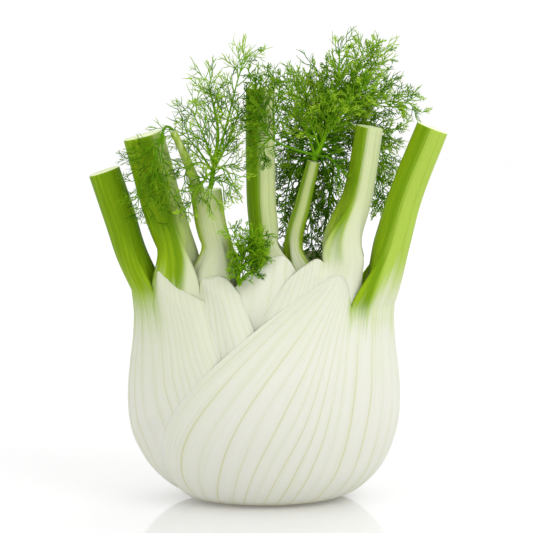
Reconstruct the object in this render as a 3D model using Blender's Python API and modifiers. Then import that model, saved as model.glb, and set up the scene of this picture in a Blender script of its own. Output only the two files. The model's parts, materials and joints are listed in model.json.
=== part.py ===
"""A fennel bulb standing on its trimmed base.

Seven leaves overlap each other around a short stem. Each leaf is a swollen
sheath that narrows into a stalk. Two of the stalks carry feathery fronds, and
a young frond grows in the middle. Sizes below are in millimetres. The front of
the bulb faces -Y, and the origin is the middle of the flat cut face below.
"""
import math
import random
from dataclasses import dataclass

import bmesh
import bpy
import numpy as np
from mathutils import Matrix, Vector
from mathutils.bvhtree import BVHTree

MM = 0.001

# Outline of the bulb: station, half width, half depth, height, and the way a
# layer under the skin shifts there, as shares inwards and upwards. Above the
# foot the station is the height plus ten.
OUTLINE = (
    (0, 17.5, 14.2, 2.0, 0.28, 0.96),
    (4, 24.0, 18.6, 0.9, 0.33, 0.93),
    (8, 30.0, 22.6, 1.1, 0.46, 0.86),
    (12, 35.5, 26.2, 3.2, 0.62, 0.72),
    (17, 40.5, 29.6, 7.0, 0.76, 0.55),
    (23, 45.5, 32.6, 12.6, 0.87, 0.38),
    (31, 49.6, 35.2, 21.0, 0.95, 0.20),
    (40, 52.0, 36.8, 30.0, 1.00, 0.08),
    (51, 52.7, 36.8, 41.0, 1.00, 0.00),
    (62, 51.9, 34.8, 52.0, 1.00, 0.00),
    (73, 50.6, 30.4, 63.0, 1.00, 0.00),
    (82, 50.2, 25.8, 72.0, 1.00, 0.00),
    (92, 51.2, 20.6, 82.0, 1.00, 0.00),
    (102, 52.4, 17.0, 92.0, 1.00, 0.00),
    (112, 54.0, 14.6, 102.0, 1.00, 0.00),
)

# Thickness of the sheaths, by station: beside the margins, and on the back.
WING_STATIONS = (0, 15, 50, 85, 110)
WING_THICKNESS = (2.8, 3.1, 3.3, 2.6, 2.4)
BACK_STATIONS = (0, 15, 50, 75, 92, 110)
BACK_THICKNESS = (2.8, 3.8, 8.6, 11.5, 13.4, 13.4)
EDGE_THICKNESS = 1.0
TAPER_WIDTH = 14.0
LAYER_GAP = 0.95
RELAX_WIDTH = 9.0
FOOT_RELAX_WIDTH = 70.0
FOOT_STATIONS = (12, 45)
MM_PER_DEGREE = 0.8
ROW_CROWDING = 1.3
BACK_SPREAD = 1.12

STEM_HEIGHT = 29.0
STEM_RADIUS = 17.0
STEM_TOP_RADIUS = 8.6
STEM_FLATNESS = 0.80
STEM_SIDES = 28

STALK_MORPH = 24.0
RING_OUTER_ANGLE = 100.0
RING_INNER_ANGLE = 120.0

NEEDLE_SIDES = 3
NEEDLE_RADIUS = 0.34
NEEDLE_CLEARANCE = 0.75
NEEDLE_TURNS = (0, 35, -35, 75, -75, 120, -120)
LEAFLET_ANGLE = 52.0
LEAFLET_FORKS = (0.28, 0.5, 0.72)
FORK_WIDTH = 0.8
FORK_ANGLE = 42.0
FORK_SHARE = 0.62
FORK_LIFTS = (0.1, 0.45, -0.15)
TIP_SHARE = 0.55
RIB_STEP = 5.0
RIB_TIP_SHARE = 0.75
JOINT_GAP = 0.32


@dataclass(frozen=True)
class Wing:
    """One free side of a sheath, from its margin to the crease at the stalk."""

    foot: float
    tip: float
    sweep: float
    mouth: tuple
    columns: int


@dataclass(frozen=True)
class Leaf:
    """One leaf: a sheath on one side of the bulb, and its stalk."""

    name: str
    side: int
    crease_foot: tuple
    crease_tip: tuple
    crease_station: float
    front: Wing
    rear: Wing
    back_columns: int
    rows: int
    back_share: float
    stalk: tuple
    stalk_rows: int
    colour: tuple
    foot_station: float = 0.0


# Stalk stations are x, y, z of the middle, the width and the depth.
RIGHT_OUTER = Leaf(
    "leaf_right_outer", 1, (-66, 64), (-47, 46), 86,
    Wing(-152, -60, 2.1, ((0, 98), (0.35, 98.5), (0.7, 95.5), (1, 86)), 7),
    Wing(138, 60, 1.7, ((0, 95), (0.4, 96), (0.75, 92.5), (1, 86)), 6),
    9, 11, 1.0,
    ((47.6, 0.3, 94, 14.2, 18.5), (54.2, 0.6, 117, 13.0, 14.0), (64.4, 1.2, 143.2, 12.4, 12.6)),
    6, (0.52, 0.66, 0.22, 1))
LEFT_OUTER = Leaf(
    "leaf_left_outer", -1, (-60, 60), (-31, 33), 91,
    Wing(-104, -62, 0.8, ((0, 89), (0.35, 93), (0.6, 98), (0.8, 102), (0.92, 97.5), (1, 91)), 5),
    Wing(118, 66, 1.2, ((0, 93), (0.5, 97), (0.8, 96), (1, 91)), 5),
    8, 11, 0.96,
    ((-50.8, 0.0, 95, 11.8, 15.5), (-55.6, 0.3, 110, 12.4, 13.6), (-61.2, 0.6, 126.6, 12.2, 12.6)),
    6, (0.40, 0.55, 0.12, 1))
LEFT_SECOND = Leaf(
    "leaf_left_second", -1, (-66, 62), (-59, 56), 91,
    Wing(-118, -79, 1.1, ((0, 92), (0.3, 97.5), (0.7, 97.5), (0.92, 95.5), (1, 91)), 5),
    Wing(112, 76, 1.1, ((0, 94), (0.5, 98), (1, 91)), 4),
    8, 10, 1.06,
    ((-33.6, -1.0, 95, 14.6, 19.0), (-38.8, -1.4, 113, 15.6, 16.8), (-46.0, -1.8, 140.6, 15.6, 16.0)),
    6, (0.47, 0.62, 0.15, 1))
RIGHT_SECOND = Leaf(
    "leaf_right_second", 1, (-70, 68), (-63, 60), 103,
    Wing(-128, -80, 1.5, ((0, 97), (0.5, 102.5), (0.85, 104.5), (1, 103)), 5),
    Wing(118, 80, 1.3, ((0, 98), (0.5, 104), (1, 103)), 4),
    9, 10, 1.1,
    ((30.6, 0.2, 99, 14.0, 17.0), (35.8, 0.5, 117, 11.6, 13.0), (40.4, 0.9, 143.6, 10.4, 11.2)),
    6, (0.72, 0.78, 0.50, 1))
RIGHT_THIRD = Leaf(
    "leaf_right_third", 1, (-76, 74), (-68, 66), 88,
    Wing(-132, -106, 1.0, ((0, 92.5), (0.28, 99), (0.5, 105), (0.66, 105.5), (0.84, 98), (1, 88)), 5),
    Wing(124, 94, 1.1, ((0, 94), (0.5, 99), (1, 88)), 4),
    9, 9, 0.75,
    ((11.6, 1.6, 98, 7.2, 9.4), (15.0, 2.6, 114, 6.0, 6.8), (19.0, 3.6, 130.0, 5.0, 5.6)),
    5, (0.62, 0.70, 0.36, 1))
LEFT_THIRD = Leaf(
    "leaf_left_third", -1, (-80, 78), (-72, 68), 90,
    Wing(-122, -96, 1.0, ((0, 88), (0.5, 89.5), (1, 90)), 3),
    Wing(122, 94, 1.0, ((0, 90), (0.5, 93), (1, 90)), 3),
    9, 9, 0.82,
    ((-18.6, -2.2, 98, 11.6, 12.6), (-20.6, -2.8, 108, 11.8, 11.4), (-22.2, -3.2, 119.6, 12.0, 10.0)),
    4, (0.74, 0.80, 0.52, 1))
MIDDLE = Leaf(
    "leaf_middle", 1, (-90, 90), (-84, 84), 90,
    Wing(-140, -118, 1.0, ((0, 90), (0.5, 90), (1, 90)), 3),
    Wing(140, 118, 1.0, ((0, 90), (0.5, 90), (1, 90)), 3),
    9, 9, 0.72,
    ((2.4, 1.0, 94, 11.6, 12.0), (-0.6, 0.9, 110, 11.2, 11.4), (-1.3, 0.8, 128, 11.2, 11.2),
        (-1.3, 0.6, 158.6, 11.2, 11.0)),
    6, (0.58, 0.68, 0.30, 1), 14.0)
LEAVES = (RIGHT_OUTER, LEFT_OUTER, LEFT_SECOND, RIGHT_SECOND, RIGHT_THIRD, LEFT_THIRD, MIDDLE)

STEM_COLOUR = (0.74, 0.70, 0.54, 1)
FROND_COLOUR = (0.20, 0.38, 0.04, 1)
SHADED_FROND_COLOUR = (0.13, 0.28, 0.03, 1)


@dataclass(frozen=True)
class Rib:
    """A branch of a frond: its route, and how its leaflets stand on it."""

    route: tuple
    radius: float = 0.55
    bare: float = 0.25
    spacing: float = 8.6
    reach: float = 12.0
    bushy: float = 40.0


@dataclass(frozen=True)
class Frond:
    """A feathery leaf blade, whose first rib grows from a stalk."""

    name: str
    seed: int
    ribs: tuple
    colour: tuple


LARGE_FROND = Frond("frond_large", 4, (
    Rib(((19.0, 3.6, 130.6), (23, 4.5, 139), (26, 6, 151), (28.5, 7, 162), (29, 8, 171)), 1.5, 0.35),
    Rib(((19.5, 4, 132.5), (15, 5, 146), (10.5, 6, 157), (8.5, 6, 163)), 0.7),
    Rib(((22.5, 5, 137.5), (18.5, 7, 152), (16, 9, 161), (15.5, 9, 166)), 0.6, 0.3),
    Rib(((24.5, 5, 145.5), (32.5, 9, 158), (37.5, 12, 166), (40, 12, 170)), 0.6),
    Rib(((25.5, 5, 149.5), (36, 12, 158), (44.5, 15, 164), (48.5, 15, 167)), 0.6),
    Rib(((24, 5, 141.5), (33, 13, 147.5), (44, 17, 152), (51, 18, 154), (57, 17, 155.5)), 0.6),
    Rib(((24, 5, 142.5), (34, 14, 142), (44, 18, 142), (53, 18, 145)), 0.6),
    Rib(((22.5, 5, 137.5), (31, 15, 138.5), (40, 19, 132.5), (45.5, 19, 122), (47, 17, 114)), 0.6),
    Rib(((19.5, 4, 131.8), (23.5, 0, 132.5), (27.5, -4, 130), (28.5, -6, 125)), 0.5, 0.3, 5, 6),
    Rib(((20.0, 5, 132.5), (13, 12, 128.5), (9, 15, 117.5), (8.5, 15, 103)), 0.6, 0.2, 7.4, 11, 80),
    Rib(((21.0, 6, 134.5), (26.5, 15, 129.5), (25.5, 17, 115), (22.5, 15, 102)), 0.6, 0.2, 7.4, 11, 80),
    Rib(((20.6, 2, 132.5), (11, -6, 136), (4, -10, 139.5), (-1, -11, 145), (-3, -11, 154), (-3.5, -10, 160)),
        0.6, 0.35, 7.4, 11, 60),
    Rib(((4, -10, 139.5), (3.5, -11, 148), (4, -11, 156)), 0.5, 0.1, 7.4, 10, 50),
    Rib(((2.5, -10, 140.5), (-1, -11, 137), (-2.5, -12, 132)), 0.5, 0.1, 7.4, 9, 50)), FROND_COLOUR)
LEFT_FROND = Frond("frond_left", 1, (
    Rib(((-20.4, -3.2, 120.6), (-19, -4, 130), (-17.5, -4, 142), (-19, -4, 151), (-19.5, -4, 156)), 1.3, 0.3),
    Rib(((-18.5, -4, 130), (-14, -4, 146), (-11, -4, 158), (-8, -4, 168)), 0.6),
    Rib(((-19, -4, 128), (-13.5, -6, 139), (-10.5, -6, 147), (-9.5, -6, 153)), 0.55),
    Rib(((-19, -4, 129), (-22.5, -8, 140), (-26.5, -9, 148), (-28.5, -9, 152)), 0.6),
    Rib(((-19.5, -4, 127), (-26, -4, 137.5), (-31.5, -7, 143.5), (-36, -9, 148)), 0.6, 0.35),
    Rib(((-19.3, -3.9, 127.5), (-21.5, -10.5, 126), (-27, -16, 118), (-30.5, -17, 112)), 0.5, 0.3, 7, 8),
    Rib(((-19, -4, 129), (-14.5, -9, 128), (-11.0, -12, 121)), 0.5, 0.3, 7, 8)), FROND_COLOUR)
HANGING_FROND = Frond("frond_hanging", 6, (
    Rib(((-34.55, -11.4, 143.7), (-36.4, -12.6, 145.2), (-39.5, -14, 139), (-42, -15.5, 125), (-44, -16, 113)),
        0.8, 0.3),
    Rib(((-38, -13.5, 142), (-45, -15, 136.5), (-50, -15.5, 133)), 0.5, 0.2, 6, 10),
    Rib(((-41, -14.5, 131.5), (-46, -16, 124), (-48.5, -16, 119)), 0.5, 0.2, 6, 10),
    Rib(((-41.5, -15, 128.5), (-36, -17, 122), (-33, -17, 118)), 0.5, 0.2, 6, 9)), SHADED_FROND_COLOUR)
YOUNG_FROND = Frond("frond_young", 8, (
    Rib(((-9.5, -15.2, 80.6), (-8.8, -15, 88), (-7, -15, 95), (-4, -15, 101.5), (-3, -14.5, 106)),
        0.9, 0.35, 6, 9, 80),
    Rib(((-8, -15, 91.5), (-2.5, -16, 94.5), (2, -16, 96.5)), 0.5, 0.15, 6, 8, 70),
    Rib(((-7, -15, 95), (-9.5, -15, 102), (-12, -15, 106.5)), 0.5, 0.2, 6, 8, 60),
    Rib(((-5.5, -15, 98.5), (-1, -15.5, 102), (1.5, -15.5, 105)), 0.5, 0.15, 6, 8, 70)), SHADED_FROND_COLOUR)
FRONDS = (LARGE_FROND, LEFT_FROND, HANGING_FROND, YOUNG_FROND)

# The side branch of the third stalk on the left, which carries the hanging frond.
SIDE_BRANCH = ((-23.0, -3.4, 110), (-25.6, -6.0, 121), (-29.4, -8.8, 132), (-34.2, -11.2, 143.0))
SIDE_BRANCH_RADII = (2.4, 2.2, 1.7, 1.3)


def clear_scene():
    """Remove what the file starts with."""
    for item in list(bpy.data.objects):
        bpy.data.objects.remove(item, do_unlink=True)


def make_collection(name):
    """Add an empty collection to the scene."""
    collection = bpy.data.collections.new(name)
    bpy.context.scene.collection.children.link(collection)
    return collection


def make_material(name, colour, roughness):
    """A plain material with the colour and roughness of one sub-part."""
    material = bpy.data.materials.new(name)
    material.use_nodes = True
    shader = material.node_tree.nodes["Principled BSDF"]
    shader.inputs["Base Color"].default_value = colour
    shader.inputs["Roughness"].default_value = roughness
    shader.inputs["Metallic"].default_value = 0.0
    return material


def smooth_curve(x, xs, ys):
    """Read a smooth curve through the points xs, ys at every x."""
    x = np.clip(np.asarray(x, float), xs[0], xs[-1])
    xs = np.asarray(xs, float)
    ys = np.asarray(ys, float)
    slope = np.gradient(ys, xs)
    left = np.clip(np.searchsorted(xs, x, side="right") - 1, 0, len(xs) - 2)
    width = xs[left + 1] - xs[left]
    s = (x - xs[left]) / width
    start = (1 + 2 * s) * (1 - s) ** 2 * ys[left] + s * (1 - s) ** 2 * width * slope[left]
    end = s * s * (3 - 2 * s) * ys[left + 1] + s * s * (s - 1) * width * slope[left + 1]
    return start + end


def smoothstep(x):
    """Ease from 0 to 1."""
    x = np.clip(x, 0.0, 1.0)
    return x * x * (3 - 2 * x)


def skin_point(angle, station, depth):
    """The point at an angle and a station, some depths across and along below the skin."""
    columns = list(zip(*OUTLINE))
    half_width, half_depth, height, inwards, upwards = (
        smooth_curve(station, columns[0], column) for column in columns[1:])
    turn = np.radians(angle)
    x = (half_width - depth[0] * inwards) * np.cos(turn)
    y = (half_depth - depth[1] * inwards) * np.sin(turn)
    z = height + depth[1] * upwards
    return np.stack([x, y, z], axis=-1)


def leaf_angle(leaf, angle):
    """Turn an angle measured from a leaf's back into one round the bulb, or back."""
    return angle if leaf.side > 0 else -180.0 - angle


def wing_mouth(wing, share):
    """Station of the mouth at a share of the way from the margin to the crease."""
    shares, stations = zip(*wing.mouth)
    return smooth_curve(share, shares, stations)


def wing_angle(leaf, wing, end, share, station):
    """Angle of the line that runs up a wing at a share from margin to crease."""
    foot = wing.foot + (leaf.crease_foot[end] - wing.foot) * share
    tip = wing.tip + (leaf.crease_tip[end] - wing.tip) * share
    sweep = wing.sweep + (1 - wing.sweep) * np.clip(share / 0.45, 0, 1)
    climb = np.clip(station / wing_mouth(wing, share), 0, 1)
    return foot + (tip - foot) * climb ** sweep


def sheath_outline(leaf):
    """The closed outline that a leaf covers, as angle and station points."""
    halves = []
    for end, wing in enumerate((leaf.front, leaf.rear)):
        margin = np.linspace(0, wing_mouth(wing, 0.0), 12)
        angles = list(wing_angle(leaf, wing, end, 0.0, margin))
        stations = list(margin)
        for share in np.linspace(0, 1, 9)[1:]:
            angles.append(wing.tip + (leaf.crease_tip[end] - wing.tip) * share)
            stations.append(wing_mouth(wing, share))
        angles = [angles[0]] + angles + [angles[-1]]
        stations = [-60.0] + stations + [260.0]
        halves.append(list(zip(angles, stations)))
    outline = np.array(halves[0] + halves[1][::-1], float)
    outline[:, 0] *= MM_PER_DEGREE
    return outline


def outline_distance(outline, points):
    """Distance of points from a closed outline, positive inside it."""
    nearest = np.full(len(points), 1e9)
    inside = np.zeros(len(points), bool)
    for start, end in zip(outline, np.roll(outline, -1, axis=0)):
        along = end - start
        length = max(float(along @ along), 1e-9)
        share = np.clip((points - start) @ along / length, 0, 1)
        offset = points - (start + share[:, None] * along)
        nearest = np.minimum(nearest, np.hypot(offset[:, 0], offset[:, 1]))
        crosses = (start[1] > points[:, 1]) != (end[1] > points[:, 1])
        rise = end[1] - start[1] if end[1] != start[1] else 1e-9
        at = start[0] + (points[:, 1] - start[1]) / rise * along[0]
        inside ^= crosses & (points[:, 0] < at)
    return np.where(inside, nearest, -nearest)


def cover(leaf, angle, station):
    """How far inside a leaf's outline the places round the bulb are."""
    own = leaf_angle(leaf, np.asarray(angle, float))
    own = (own + 180.0) % 360.0 - 180.0
    outline = sheath_outline(leaf)
    best = None
    for turn in (-360.0, 0.0, 360.0):
        points = np.stack([(own + turn) * MM_PER_DEGREE, station], axis=-1)
        distance = outline_distance(outline, points.reshape(-1, 2)).reshape(own.shape)
        best = distance if best is None else np.maximum(best, distance)
    return best, own


def sheath_thickness(leaf, inside, own_angle, station):
    """Thickness of a sheath across the bulb, where its back is thick, and along it."""
    wing = np.interp(station, WING_STATIONS, WING_THICKNESS)
    back = np.interp(station, BACK_STATIONS, BACK_THICKNESS) * leaf.back_share
    climb = np.clip(station / leaf.crease_station, 0, 1)
    foot = np.where(own_angle < 0, -leaf.crease_foot[0], leaf.crease_foot[1])
    tip = np.where(own_angle < 0, -leaf.crease_tip[0], leaf.crease_tip[1])
    share = np.clip(np.abs(own_angle) / (foot + (tip - foot) * climb) / BACK_SPREAD, 0, 1)
    bell = np.cos(share * math.pi / 2) ** 1.4
    wing = wing * min(leaf.back_share, 1.0)
    full = np.stack([wing + np.maximum(back - wing, 0) * bell, wing])
    return EDGE_THICKNESS + (full - EDGE_THICKNESS) * np.clip(inside / TAPER_WIDTH, 0, 1)


def layer_depth(leaf, angle, station):
    """Depths below the skin at which a leaf starts, under the leaves outside it."""
    depth = np.zeros((2,) + np.shape(angle))
    relax = np.interp(station, FOOT_STATIONS, (FOOT_RELAX_WIDTH, RELAX_WIDTH))
    for outer in LEAVES[:LEAVES.index(leaf)]:
        inside, own_angle = cover(outer, angle, station)
        under = sheath_thickness(outer, np.maximum(inside, 0), own_angle, station) + LAYER_GAP
        depth += under * smoothstep(1 + np.minimum(inside, 0) / relax)
    return depth


def sheath_grid(leaf):
    """Angles and stations of a sheath's grid: columns from margin to margin."""
    columns = []
    climb = np.linspace(0, 1, leaf.rows) ** ROW_CROWDING
    foot = leaf.foot_station
    for share in np.linspace(0, 1, leaf.front.columns + 1)[:-1]:
        stations = foot + climb * (wing_mouth(leaf.front, share) - foot)
        columns.append((wing_angle(leaf, leaf.front, 0, share, stations), stations))
    for share in np.linspace(0, 1, leaf.back_columns + 1):
        stations = foot + climb * (leaf.crease_station - foot)
        low = leaf.crease_foot[0] + (leaf.crease_foot[1] - leaf.crease_foot[0]) * share
        high = leaf.crease_tip[0] + (leaf.crease_tip[1] - leaf.crease_tip[0]) * share
        columns.append((low + (high - low) * stations / leaf.crease_station, stations))
    for share in np.linspace(1, 0, leaf.rear.columns + 1)[1:]:
        stations = foot + climb * (wing_mouth(leaf.rear, share) - foot)
        columns.append((wing_angle(leaf, leaf.rear, 1, share, stations), stations))
    angles, stations = zip(*columns)
    return leaf_angle(leaf, np.array(angles)), np.array(stations)


def stalk_rings(leaf, ring):
    """Rings of points that lead from the sheath's mouth up to the cut top."""
    middle = ring.mean(axis=0)
    stations = np.array(leaf.stalk, float)
    heights = [middle[2]] + list(stations[:, 2])
    route = np.vstack([middle, stations[:, :3]])
    widths = [stations[0, 3]] + list(stations[:, 3])
    depths = [stations[0, 4]] + list(stations[:, 4])
    half = len(ring) // 2
    outer = np.linspace(-RING_OUTER_ANGLE, RING_OUTER_ANGLE, half)
    inner = np.linspace(RING_INNER_ANGLE, 360 - RING_INNER_ANGLE, half)
    turn = np.radians(np.concatenate([outer, inner]))
    rings = []
    for share in np.linspace(0, 1, leaf.stalk_rows + 1)[1:]:
        z = heights[0] + (heights[-1] - heights[0]) * share ** 1.15
        centre = np.array([smooth_curve(z, heights, route[:, axis]) for axis in range(3)])
        above = np.array([smooth_curve(z + 1, heights, route[:, axis]) for axis in range(3)])
        below = np.array([smooth_curve(z - 1, heights, route[:, axis]) for axis in range(3)])
        axis = (above - below) / np.linalg.norm(above - below)
        across = np.array([axis[2], 0.0, -axis[0]]) * leaf.side
        across /= np.linalg.norm(across)
        deep = np.array([0.0, 1.0, 0.0])
        width = smooth_curve(z, heights, widths) / 2
        depth = smooth_curve(z, heights, depths) / 2
        target = centre + np.outer(np.cos(turn) * width, across)
        target = target + np.outer(np.sin(turn) * depth, deep)
        weight = float(smoothstep((z - heights[0]) / STALK_MORPH))
        rings.append((ring + centre - middle) * (1 - weight) + target * weight)
    return rings


def leaf_mesh(leaf):
    """One closed surface: the sheath's two faces, its edges and the stalk."""
    angle, station = sheath_grid(leaf)
    depth = layer_depth(leaf, angle, station)
    inside, own_angle = cover(leaf, angle, station)
    thickness = sheath_thickness(leaf, np.maximum(inside, 0), own_angle, station)
    outer = skin_point(angle, station, depth)
    inner = skin_point(angle, station, depth + thickness)
    columns, rows = angle.shape
    points = list(outer.reshape(-1, 3)) + list(inner.reshape(-1, 3))
    skin = np.arange(columns * rows).reshape(columns, rows)
    lining = skin + columns * rows
    faces = []
    for sheet in (skin, lining):
        for c in range(columns - 1):
            for r in range(rows - 1):
                faces.append((sheet[c, r], sheet[c + 1, r], sheet[c + 1, r + 1], sheet[c, r + 1]))
    first = leaf.front.columns
    last = first + leaf.back_columns
    top = rows - 1
    for r in range(top):
        for c in (0, columns - 1):
            faces.append((skin[c, r], skin[c, r + 1], lining[c, r + 1], lining[c, r]))
    for c in range(columns - 1):
        faces.append((skin[c, 0], skin[c + 1, 0], lining[c + 1, 0], lining[c, 0]))
        if c < first or c >= last:
            faces.append((skin[c, top], skin[c + 1, top], lining[c + 1, top], lining[c, top]))
    loop = list(skin[first:last + 1, top]) + list(lining[first:last + 1, top][::-1])
    for ring in stalk_rings(leaf, np.array([points[i] for i in loop])):
        following = [len(points) + i for i in range(len(loop))]
        points += list(ring)
        for i in range(len(loop)):
            j = (i + 1) % len(loop)
            faces.append((loop[i], loop[j], following[j], following[i]))
        loop = following
    faces.append(tuple(loop))
    return points, faces


def closed_object(name, points, faces, material, collection):
    """Make an object of a closed surface given in millimetres, faces outwards."""
    mesh = bpy.data.meshes.new(name)
    mesh.from_pydata([Vector(p) * MM for p in points], [], [tuple(map(int, f)) for f in faces])
    shape = bmesh.new()
    shape.from_mesh(mesh)
    bmesh.ops.recalc_face_normals(shape, faces=shape.faces)
    bmesh.ops.triangulate(shape, faces=shape.faces)
    shape.to_mesh(mesh)
    shape.free()
    mesh.materials.append(material)
    mesh.shade_smooth()
    mesh.set_sharp_from_angle(angle=math.radians(40))
    item = bpy.data.objects.new(name, mesh)
    collection.objects.link(item)
    return item


def evaluated_mesh(item):
    """The mesh that an object's modifiers make, as a new mesh."""
    graph = bpy.context.evaluated_depsgraph_get()
    graph.update()
    return bpy.data.meshes.new_from_object(item.evaluated_get(graph), depsgraph=graph)


def keep_largest_body(mesh):
    """Drop the loose scraps of a mesh."""
    shape = bmesh.new()
    shape.from_mesh(mesh)
    left = set(shape.verts)
    bodies = []
    while left:
        body = {left.pop()}
        front = list(body)
        while front:
            for edge in front.pop().link_edges:
                for vert in edge.verts:
                    if vert in left:
                        left.remove(vert)
                        body.add(vert)
                        front.append(vert)
        bodies.append(body)
    bodies.sort(key=len)
    for body in bodies[:-1]:
        bmesh.ops.delete(shape, geom=list(body), context="VERTS")
    shape.to_mesh(mesh)
    shape.free()


def apply_boolean(item, operation, collection):
    """Cut an object by a collection's objects, or join them to it."""
    step = item.modifiers.new("boolean", "BOOLEAN")
    step.operation = operation
    step.operand_type = "COLLECTION"
    step.collection = collection
    step.solver = "MANIFOLD"
    mesh = evaluated_mesh(item)
    item.modifiers.remove(step)
    keep_largest_body(mesh)
    old = item.data
    item.data = mesh
    bpy.data.meshes.remove(old)
    for other in list(collection.objects):
        bpy.data.objects.remove(other, do_unlink=True)


def surface_tree(item):
    """A search tree of an object's surface."""
    shape = bmesh.new()
    shape.from_mesh(item.data)
    tree = BVHTree.FromBMesh(shape)
    shape.free()
    return tree


def grown_copy(item, collection):
    """A cutter: a copy of an object, larger all round by the gap between pieces."""
    mesh = item.data.copy()
    for vert, normal in zip(mesh.vertices, [v.normal.copy() for v in mesh.vertices]):
        vert.co += normal * JOINT_GAP * MM
    cutter = bpy.data.objects.new(item.name + "_cutter", mesh)
    cutter.hide_render = True
    cutter.display_type = "WIRE"
    collection.objects.link(cutter)
    return cutter


def clear_neighbours(item, others, cutters):
    """Cut an object back where it meets the leaves outside it."""
    for other in others:
        cutter = grown_copy(other, cutters)
        if surface_tree(cutter).overlap(surface_tree(item)):
            apply_boolean(item, "DIFFERENCE", cutters)
        else:
            bpy.data.objects.remove(cutter, do_unlink=True)


def make_stem(collection):
    """The short stem that the sheaths grow from, cut flat below."""
    rim = 2.2
    profile = (
        (0, STEM_HEIGHT),
        (STEM_TOP_RADIUS - 2, STEM_HEIGHT - 0.6),
        (STEM_TOP_RADIUS, STEM_HEIGHT - 2.6),
        (STEM_RADIUS - 0.2, rim),
        (STEM_RADIUS - 0.9, 0.5),
        (STEM_RADIUS - 1.8, 0),
        (0, 0))
    mesh = bpy.data.meshes.new("stem_plate")
    edges = [(i, i + 1) for i in range(len(profile) - 1)]
    mesh.from_pydata([(r * MM, 0, z * MM) for r, z in profile], edges, [])
    mesh.materials.append(make_material("cut stem", STEM_COLOUR, 0.6))
    item = bpy.data.objects.new("stem_plate", mesh)
    collection.objects.link(item)
    turning = item.modifiers.new("turning", "SCREW")
    turning.steps = STEM_SIDES
    turning.render_steps = STEM_SIDES
    turning.use_merge_vertices = True
    turning.merge_threshold = 0.00005
    item.scale = (1, STEM_FLATNESS, 1)
    return item


def tube(name, route, radii, resolution, collection):
    """A tapering tube along a smooth route, as a closed mesh object."""
    route = np.array(route, float)
    along = np.concatenate([[0], np.cumsum(np.linalg.norm(np.diff(route, axis=0), axis=1))])
    count = max(3, int(round(along[-1] / RIB_STEP)) + 1)
    steps = np.linspace(0, along[-1], count)
    points = np.stack([smooth_curve(steps, along, route[:, axis]) for axis in range(3)], axis=-1)
    curve = bpy.data.curves.new(name, "CURVE")
    curve.dimensions = "3D"
    curve.bevel_depth = MM
    curve.bevel_resolution = resolution
    curve.use_fill_caps = True
    spline = curve.splines.new("POLY")
    spline.points.add(count - 1)
    for point, place, radius in zip(spline.points, points, np.interp(steps, along, radii)):
        point.co = (*(place * MM), 1)
        point.radius = radius
    guide = bpy.data.objects.new(name, curve)
    collection.objects.link(guide)
    mesh = evaluated_mesh(guide)
    bpy.data.objects.remove(guide, do_unlink=True)
    shape = bmesh.new()
    shape.from_mesh(mesh)
    bmesh.ops.remove_doubles(shape, verts=shape.verts, dist=0.00001)
    shape.to_mesh(mesh)
    shape.free()
    item = bpy.data.objects.new(name, mesh)
    collection.objects.link(item)
    return item, points


def leaflet_mesh(root, along, face, reach, draw, forks):
    """A three-sided thread with finer threads pulled out of its faces in pairs."""
    side = along.cross(face).normalized()
    shape = bmesh.new()
    rings = []
    shares = [0.0]
    for share in forks:
        shares += [share, share + FORK_WIDTH / reach]
    for share in shares:
        radius = NEEDLE_RADIUS * (1 - 0.5 * share)
        ring = []
        for corner in range(NEEDLE_SIDES):
            turn = 2 * math.pi * corner / NEEDLE_SIDES
            offset = face * math.cos(turn) + side * math.sin(turn)
            ring.append(shape.verts.new((root + along * reach * share + offset * radius) * MM))
        rings.append(ring)
    shape.faces.new(rings[0][::-1])
    bend = math.radians(FORK_ANGLE * draw.uniform(0.85, 1.15))
    pulled = []
    for index, (lower, upper) in enumerate(zip(rings, rings[1:])):
        for corner in range(NEEDLE_SIDES):
            following = (corner + 1) % NEEDLE_SIDES
            quad = shape.faces.new((lower[corner], lower[following], upper[following], upper[corner]))
            if index % 2 == 1 and corner != 1:
                hand = 1 if corner == 0 else -1
                share = shares[index]
                length = reach * FORK_SHARE * (1.15 - 0.6 * share) * draw.uniform(0.8, 1.15)
                lift = FORK_LIFTS[index // 2]
                way = along * math.cos(bend) + side * hand * math.sin(bend) + face * lift * math.sin(bend)
                pulled.append((quad, root + along * reach * share + way.normalized() * length))
    tip = shape.verts.new((root + along * reach) * MM)
    for corner in range(NEEDLE_SIDES):
        shape.faces.new((rings[-1][corner], rings[-1][(corner + 1) % NEEDLE_SIDES], tip))
    for quad, point in pulled:
        bmesh.ops.poke(shape, faces=[quad])["verts"][0].co = point * MM
    mesh = bpy.data.meshes.new("leaflet")
    shape.to_mesh(mesh)
    shape.free()
    return mesh, [point for quad, point in pulled]


def is_clear(root, tip, trees):
    """Whether a needle keeps its distance from every tree's surface."""
    root = Vector(root) * MM
    tip = Vector(tip) * MM
    along = tip - root
    for tree in trees:
        if tree.ray_cast(root, along, along.length)[0] is not None:
            return False
        for share in (0.0, 0.25, 0.5, 0.75, 1.0):
            if tree.find_nearest(root + along * share, NEEDLE_CLEARANCE * MM)[0] is not None:
                return False
    return True


def turned(vector, axis, degrees):
    """A vector turned about an axis."""
    return Matrix.Rotation(math.radians(degrees), 3, axis) @ vector


def grow_leaflet(root, along, face, reach, trees, draw, collection):
    """One forked leaflet, bent clear of what stands near it."""
    for roll in NEEDLE_TURNS:
        turned_face = turned(face, along, roll)
        direction = turned(along, turned_face, LEAFLET_ANGLE * draw.uniform(0.8, 1.15))
        mesh, points = leaflet_mesh(root, direction, turned_face, reach, draw, LEAFLET_FORKS)
        ends = points + [root + direction * reach]
        if all(is_clear(root, end, trees) for end in ends):
            collection.objects.link(bpy.data.objects.new("leaflet", mesh))
            return
        bpy.data.meshes.remove(mesh)


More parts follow.
